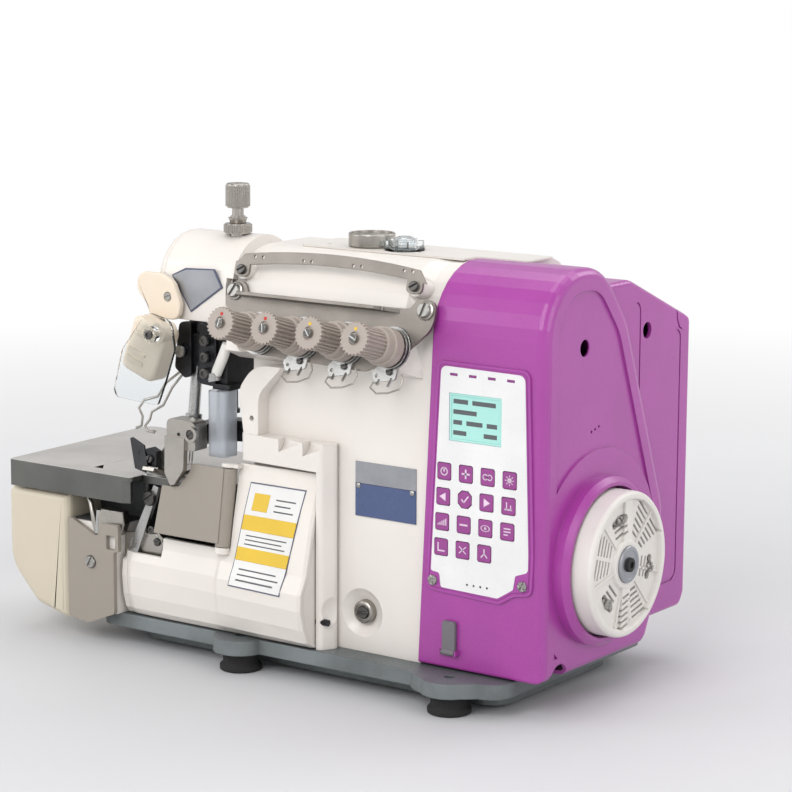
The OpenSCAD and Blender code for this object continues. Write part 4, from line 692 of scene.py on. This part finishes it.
# painted shade: a dark ring seated on the screws' bosses behind the wheel's slots stands in for the shade in
# the wheel's hollow
sides = 64
v, f = revolve(wheel(6.4), AXLE, [(11.4, 0), (35, 0), (35, 0.5), (11.4, 0.5)], sides)
f = f[:-2] + [[3 * sides + i, 3 * sides + (i + 1) % sides, (i + 1) % sides, i] for i in range(sides)]
piece("vent_shade_ring", v, f, "drive", "motor_grey", True)
screw("hub_screw", wheel(0.6), AXLE, 4.3, "drive", "slot_black", "hex", 20, 2.4)
for k in range(3):
    screw("wheel_screw_%d" % (k + 1), wheel(3, SCREW_RING, FIRST_SCREW + 120 * k), AXLE, 3.1, "drive",
          "bright_screw", "cross", 40 + 35 * k, 2.0)

# ------------------------------------------------------------------ column and cover fixings
turned("drain_plug", D(-43, 3.2, 24), FACE,
       [(6.9, -2), (6.9, 2.4), (6.3, 3.0), (5.4, 3.2), (5.1, 2.4), (0.3, 2.3)], 36, "machine", "nickel")
screw("drain_plug_screw", D(-43, 0.9, 24), FACE, 4.2, "machine", "dark_screw", "slot", 10, 1.8)
screw("shoulder_screw", D(-119, -3.4, 135), FACE, 1.9, "machine", "dark_screw", "slot", 40, 1.2)


# ------------------------------------------------------------------ label on the looper cover
def cover_y(x, z):
    """Where the looper cover's face lies; its sections bulge more towards the right."""
    k = 0.35 + 0.35 * (x + 136) / 36 if x < -100 else 0.7 + 0.3 * (x + 100) / 30
    section = [(-9 + 2 * k, 106), (-13 - 3 * k, 78), (-17.5 - 6.5 * k, 46), (-20.5 - 8.5 * k, 36),
               (-21.5 - 8 * k, 26)]
    for (y0, z0), (y1, z1) in zip(section, section[1:]):
        if z0 >= z >= z1:
            return y0 + (y1 - y0) * (z0 - z) / (z0 - z1)
    return section[-1][0]


LABEL_LEAN, LABEL_FOOT = 0.115, 33
LABEL_ROWS, LABEL_COLS = 12, 8


def label(name, x0, x1, z0, z1, t, mat):
    """A thin sheet on the cover from x0 to x1 and z0 to z1, leaning to the right on its way up."""
    verts, faces = [], []
    for h in (0.04, t):
        for j in range(LABEL_ROWS + 1):
            for i in range(LABEL_COLS + 1):
                z = z0 + (z1 - z0) * j / LABEL_ROWS
                x = x0 + (x1 - x0) * i / LABEL_COLS + LABEL_LEAN * (z - LABEL_FOOT)
                verts.append(D(x, cover_y(x, z) - h, z))
    w = LABEL_COLS + 1
    top = (LABEL_ROWS + 1) * w
    for j in range(LABEL_ROWS):
        for i in range(LABEL_COLS):
            a = j * w + i
            faces.append([top + a, top + a + 1, top + a + 1 + w, top + a + w])
            faces.append([a, a + w, a + w + 1, a + 1])
    edge = [j * w for j in range(LABEL_ROWS)] + [LABEL_ROWS * w + i for i in range(LABEL_COLS)] \
        + [(LABEL_ROWS - j) * w + LABEL_COLS for j in range(LABEL_ROWS)] \
        + [LABEL_COLS - i for i in range(LABEL_COLS)]
    for a, b in zip(edge, edge[1:] + edge[:1]):
        faces.append([a, b, top + b, top + a])
    return piece(name, verts, faces, "front_cover", mat)


RIM_T, SHEET_T, PRINT_T = 0.5, 0.62, 0.7
label("label_rim", -126.3, -84, 33, 96, RIM_T, "rim_dark")
label("label_sheet", -125.7, -84.6, 33.8, 95.2, SHEET_T, "label_white")
label("label_band_upper", -125.7, -84.6, 67.5, 76.5, PRINT_T, "mark_yellow")
label("label_band_lower", -125.7, -84.6, 49, 57, PRINT_T, "mark_yellow")
label("label_sign", -121, -109, 79.5, 90, PRINT_T, "mark_yellow")
# three groups of plain lines: left end, right end, what every second line adds to it, foot, step, width
for group, x0, x1, more, z, step, width in (("a", -104, -89, -3, 80.5, 3.4, 0.8),
                                            ("b", -121, -89, -3, 58.8, 2.6, 0.7),
                                            ("c", -121, -91, 3, 37.2, 3.2, 0.8)):
    for k in range(3):
        label("label_line_%s%d" % (group, k), x0, x1 + more * (k % 2), z + step * k, z + width + step * k,
              PRINT_T, "print_grey")

# ------------------------------------------------------------------ sewing area
# name, place, radius, body, material, kind, turn of the slot, height
for name, x, y, z, r, body, mat, kind, turn, h in (
        ("foot_screw", -156, -22.7, 122.6, 2.9, "presser", "dark_screw", "slot", 30, 1.0),
        ("foot_pin", -166.5, -22.05, 121.5, 1.1, "presser", "slot_black", "slot", 0, 0.3),
        ("bracket_screw_1", -154, -11.5, 159, 3.2, "machine", "dark_screw", "hex", 0, 1.8),
        ("bracket_screw_2", -154, -11.5, 169, 3.2, "machine", "dark_screw", "hex", 0, 1.8),
        ("bracket_screw_3", -154, -11.5, 179, 3.2, "machine", "dark_screw", "hex", 0, 1.8),
        ("bracket_screw_4", -173, -11.9, 171, 3.8, "machine", "bright_screw", "slot", 50, 1.8),
        ("side_plate_screw", -236.9, -25.1, 32, 3.9, "machine", "bright_screw", "slot", 60, 1.8),
        ("lamp_screw", -182, -11.6, 204, 2.9, "machine", "bright_screw", "slot", 20, 1.8),
        ("guard_screw", -191, -20.4, 103, 2.6, "presser", "dark_screw", "slot", 70, 1.6),
        ("slant_screw", -195, -16.2, 77, 5.0, "machine", "dark_screw", "slot", 35, 2.2),
        ("slant_foot_screw_1", -191.5, -13.4, 49, 2.7, "machine", "dark_screw", "slot", 20, 1.6),
        ("slant_foot_screw_2", -212, -13.4, 43, 2.7, "machine", "dark_screw", "hex", 20, 1.6),
        ("slant_foot_screw_3", -196, -13.4, 56, 2.7, "machine", "dark_screw", "hex", 20, 1.6)):
    screw(name, D(x, y, z), FACE, r, body, mat, kind, turn, h)
screw("needle_plate_screw", D(-199, -12, 90.7), (0, 0, 1), 3.4, "machine", "steel_bright", "slot", 30, 0.9)

# cap of the stud that the eye guard turns on
turned("guard_stud_cap", D(-176, -37.9, 184), FACE,
       [(2.9, -0.6), (2.9, 0.7), (2.5, 1.0), (1.5, 1.0), (1.4, 0.2)], 24, "machine", "dark_screw")

# felt rod and its clamp above the oil box
tube("felt_wick", [D(-140, -7, 178), D(-143, -7.4, 170), D(-147, -8, 161), D(-149, -8, 156)], 3.4, "machine",
     "felt_white", 16, [0.9, 1, 1, 0.9])
turned("wick_clamp", D(-148.6, -8, 154.5), (-0.25, 0, 1), [(4.4, 0), (4.4, 5), (4.0, 5.3)], 24,
       "machine", "steel_bright")

# bent wire guides left of the foot
for name, bends in (
        ("wire_guide_1", ((-176, -7.5, 158), (-186, -10, 150), (-191, -12, 141), (-197, -18, 139),
                          (-200, -20, 134), (-197, -20, 129), (-198, -20, 123), (-203, -19, 121))),
        ("wire_guide_2", ((-174, -7.5, 157), (-182, -9.5, 147), (-187, -12, 136), (-192, -17, 132),
                          (-193, -18, 127), (-196, -19, 123), (-194, -19, 120), (-189, -18, 119.5)))):
    tube(name, [D(*b) for b in bends], 0.8, "machine", "nickel", 10)


def slab(name, at, axis, outline, t, body, mat, along=(1, 0, 0), chamfer=0.3):
    """A plate over an outline standing t proud of at along axis."""
    return piece(name, *prism(at, axis, outline, 0, t, along, chamfer), body, mat)


# dark guard blade in front of the wires, on the presser foot's side
slab("guard_blade", D(-199, -19.2, 104), (-0.25, -1, 0.15),
     [(-13, 8), (-11, 9), (2, 7), (9, -4), (8, -9), (-3, -9)], 1.4, "presser", "black_oxide", (1, -0.2, -0.1))
slab("guard_bracket", D(-193, -15.4, 103), FACE, [(-8, -5), (7, -5), (7, 5), (2, 7), (-8, 4)], 5, "presser",
     "black_oxide")

# slanted holder of the needle thread guide below the cloth plate
slab("slant_holder", D(-201, -13, 63), FACE,
     [(9, 22.8), (13, 21.5), (-5.5, -24), (-8, -26), (-13, -24), (-12, -19)], 3.2, "machine", "steel_bright")
slab("slant_foot", D(-201, -11, 47), FACE,
     [(-17.8, -8), (12, -8), (14, 2), (8, 7), (-17.8, 5)], 2.6, "machine", "nickel")


def shade_sheet(name, a, b):
    """A thin dark sheet of painted shade between two opposite corners in millimetres."""
    axis = min(range(3), key=lambda i: abs(b[i] - a[i]))
    u, v = [i for i in range(3) if i != axis]
    verts = []
    for w in (a[axis], b[axis]):
        for p, q in ((a[u], a[v]), (b[u], a[v]), (b[u], b[v]), (a[u], b[v])):
            c = [0, 0, 0]
            c[axis], c[u], c[v] = w, p, q
            verts.append(D(*c))
    faces = [[0, 1, 2, 3], [4, 5, 6, 7]] + [[i, (i + 1) % 4, 4 + (i + 1) % 4, 4 + i] for i in range(4)]
    return piece(name, verts, faces, "machine", "motor_grey")


# painted shade: thin dark sheets stand in for the shade in the recess under the cloth plate and behind the
# loopers
shade_sheet("recess_shade_back", (-255.8, 6.2, 57.2), (-218.6, 6.9, 85.8))
shade_sheet("recess_shade_floor", (-255.8, -20.5, 57.05), (-218.6, 6.2, 57.6))
shade_sheet("chamber_shade_back", (-217.8, 69.3, 6.3), (-125.6, 69.9, 85.6))
shade_sheet("chamber_shade_left", (-218.3, 9, 6.3), (-217.7, 69.2, 85.6))
shade_sheet("chamber_shade_right", (-125.7, 9, 6.3), (-125.1, 69.2, 85.6))
shade_sheet("chamber_shade_floor", (-217.6, 9, 6.1), (-125.8, 69.2, 6.6))

# clamp block and its wire under the front edge of the cloth plate
slab("clamp_block", D(-226, -13, 58), (0.35, -1, 0.1),
     [(-9, -7), (7, -8), (9, -1), (8, 7), (-7, 8), (-9, 3)], 9, "machine", "nickel", (1, 0.3, 0), 0.8)
slab("clamp_strap", D(-231, -21.5, 58), (0.35, -1, 0.1), [(-4, -7.5), (3, -8), (4, 7), (-3, 7.5)], 1.4,
     "machine", "steel_bright", (1, 0.3, 0), 0.3)
tube("clamp_wire", [D(-249, -14, 76), D(-245, -19, 75), D(-239, -22, 69), D(-236, -23, 58),
     D(-234, -22.5, 52)], 1.5, "machine", "nickel", 12)


# ------------------------------------------------------------------ light, floor and surroundings
def area(name, at, aim, size, power):
    """A white rectangular light that points at aim."""
    light = bpy.data.lights.new(name, "AREA")
    light.shape = "RECTANGLE"
    light.size, light.size_y = size
    light.energy = power
    ob = bpy.data.objects.new(name, light)
    ob.location = at
    ob.rotation_euler = (Vector(aim) - Vector(at)).to_track_quat("-Z", "Y").to_euler()
    scene.collection.objects.link(ob)
    return ob


area("key_light", (0.25, -1.9, 1.5), (0, 0, 0.12), (1.2, 1.2), 24)
area("fill_light", (-1.5, -1.1, 0.8), (0, 0, 0.1), (1.4, 1.2), 10)
area("side_light", (1.9, -0.3, 0.9), (0, 0, 0.12), (1.2, 1.2), 9)
area("top_light", (-0.1, 0.4, 1.8), (0, 0, 0.1), (1.5, 1.5), 13)
area("rim_light", (0.9, 1.5, 1.1), (0, 0, 0.15), (1.0, 1.0), 8)

# floor: a broad flat sheet with a soft tone that fades into white away from the machine
HALF, CELLS = 6.0, 24
FADE_FROM, FADE_TO = 0.4, 1.5
row = CELLS + 1
verts = [(-HALF + 2 * HALF * i / CELLS, -HALF + 2 * HALF * j / CELLS, 0.0)
         for j in range(row) for i in range(row)]
faces = [[j * row + i, j * row + i + 1, (j + 1) * row + i + 1, (j + 1) * row + i]
         for j in range(CELLS) for i in range(CELLS)]
me = bpy.data.meshes.new("floor")
me.from_pydata(verts, [], faces)
n = Nodes("floor tone")
reach = n.t.nodes.new("ShaderNodeVectorMath")
reach.operation = "LENGTH"
n.link(n.co, reach.inputs[0])
far = n.span(reach.outputs["Value"], 0, 1, FADE_FROM, FADE_TO)
tone = n.mix(n.span(n.noise(3, 4), 0, 1, 0.3, 0.7), (0.64, 0.64, 0.655), (0.615, 0.615, 0.63))
n.set(color=n.mix(far, tone, (0.0, 0.0, 0.0)), rough=0.6, emit=(1, 1, 1), glow=far, spec=n.span(far, 0.3, 0),
      normal=n.bump(n.noise(400, 3), 0.03, 0.0004))
me.materials.append(n.m)
floor = bpy.data.objects.new("floor", me)
low = min(v[2] for ob in nodes.values() for v in ob.bound_box)
floor.location = (0, 0, low - 0.0002)
scene.collection.objects.link(floor)

# surroundings: white where the camera sees them, and a soft grey and white dome for the light
world = bpy.data.worlds.new("studio")
world.use_nodes = True
t = world.node_tree
t.nodes.clear()


def world_node(kind, *links):
    """A node of the world with each given socket linked to an input of it."""
    node = t.nodes.new(kind)
    for number, socket in links:
        t.links.new(socket, node.inputs[number])
    return node


direction = world_node("ShaderNodeTexCoord")
sep = world_node("ShaderNodeSeparateXYZ", (0, direction.outputs["Generated"]))
height = world_node("ShaderNodeMapRange", ("Value", sep.outputs["Z"]))
height.inputs["From Min"].default_value = -1
height.inputs["From Max"].default_value = 1
ramp = world_node("ShaderNodeValToRGB", (0, height.outputs[0]))
ramp.color_ramp.elements[0].color = (0.40, 0.40, 0.41, 1)
ramp.color_ramp.elements[1].color = (0.60, 0.60, 0.60, 1)
ramp.color_ramp.elements.new(0.52).color = (1.0, 1.0, 1.0, 1)
soft = world_node("ShaderNodeBackground", ("Color", ramp.outputs[0]))
soft.inputs["Strength"].default_value = 0.7
seen = world_node("ShaderNodeBackground")
seen.inputs["Color"].default_value = (1, 1, 1, 1)
path = world_node("ShaderNodeLightPath")
mixer = world_node("ShaderNodeMixShader", (0, path.outputs["Is Camera Ray"]), (1, soft.outputs[0]),
                   (2, seen.outputs[0]))
world_node("ShaderNodeOutputWorld", ("Surface", mixer.outputs[0]))
scene.world = world
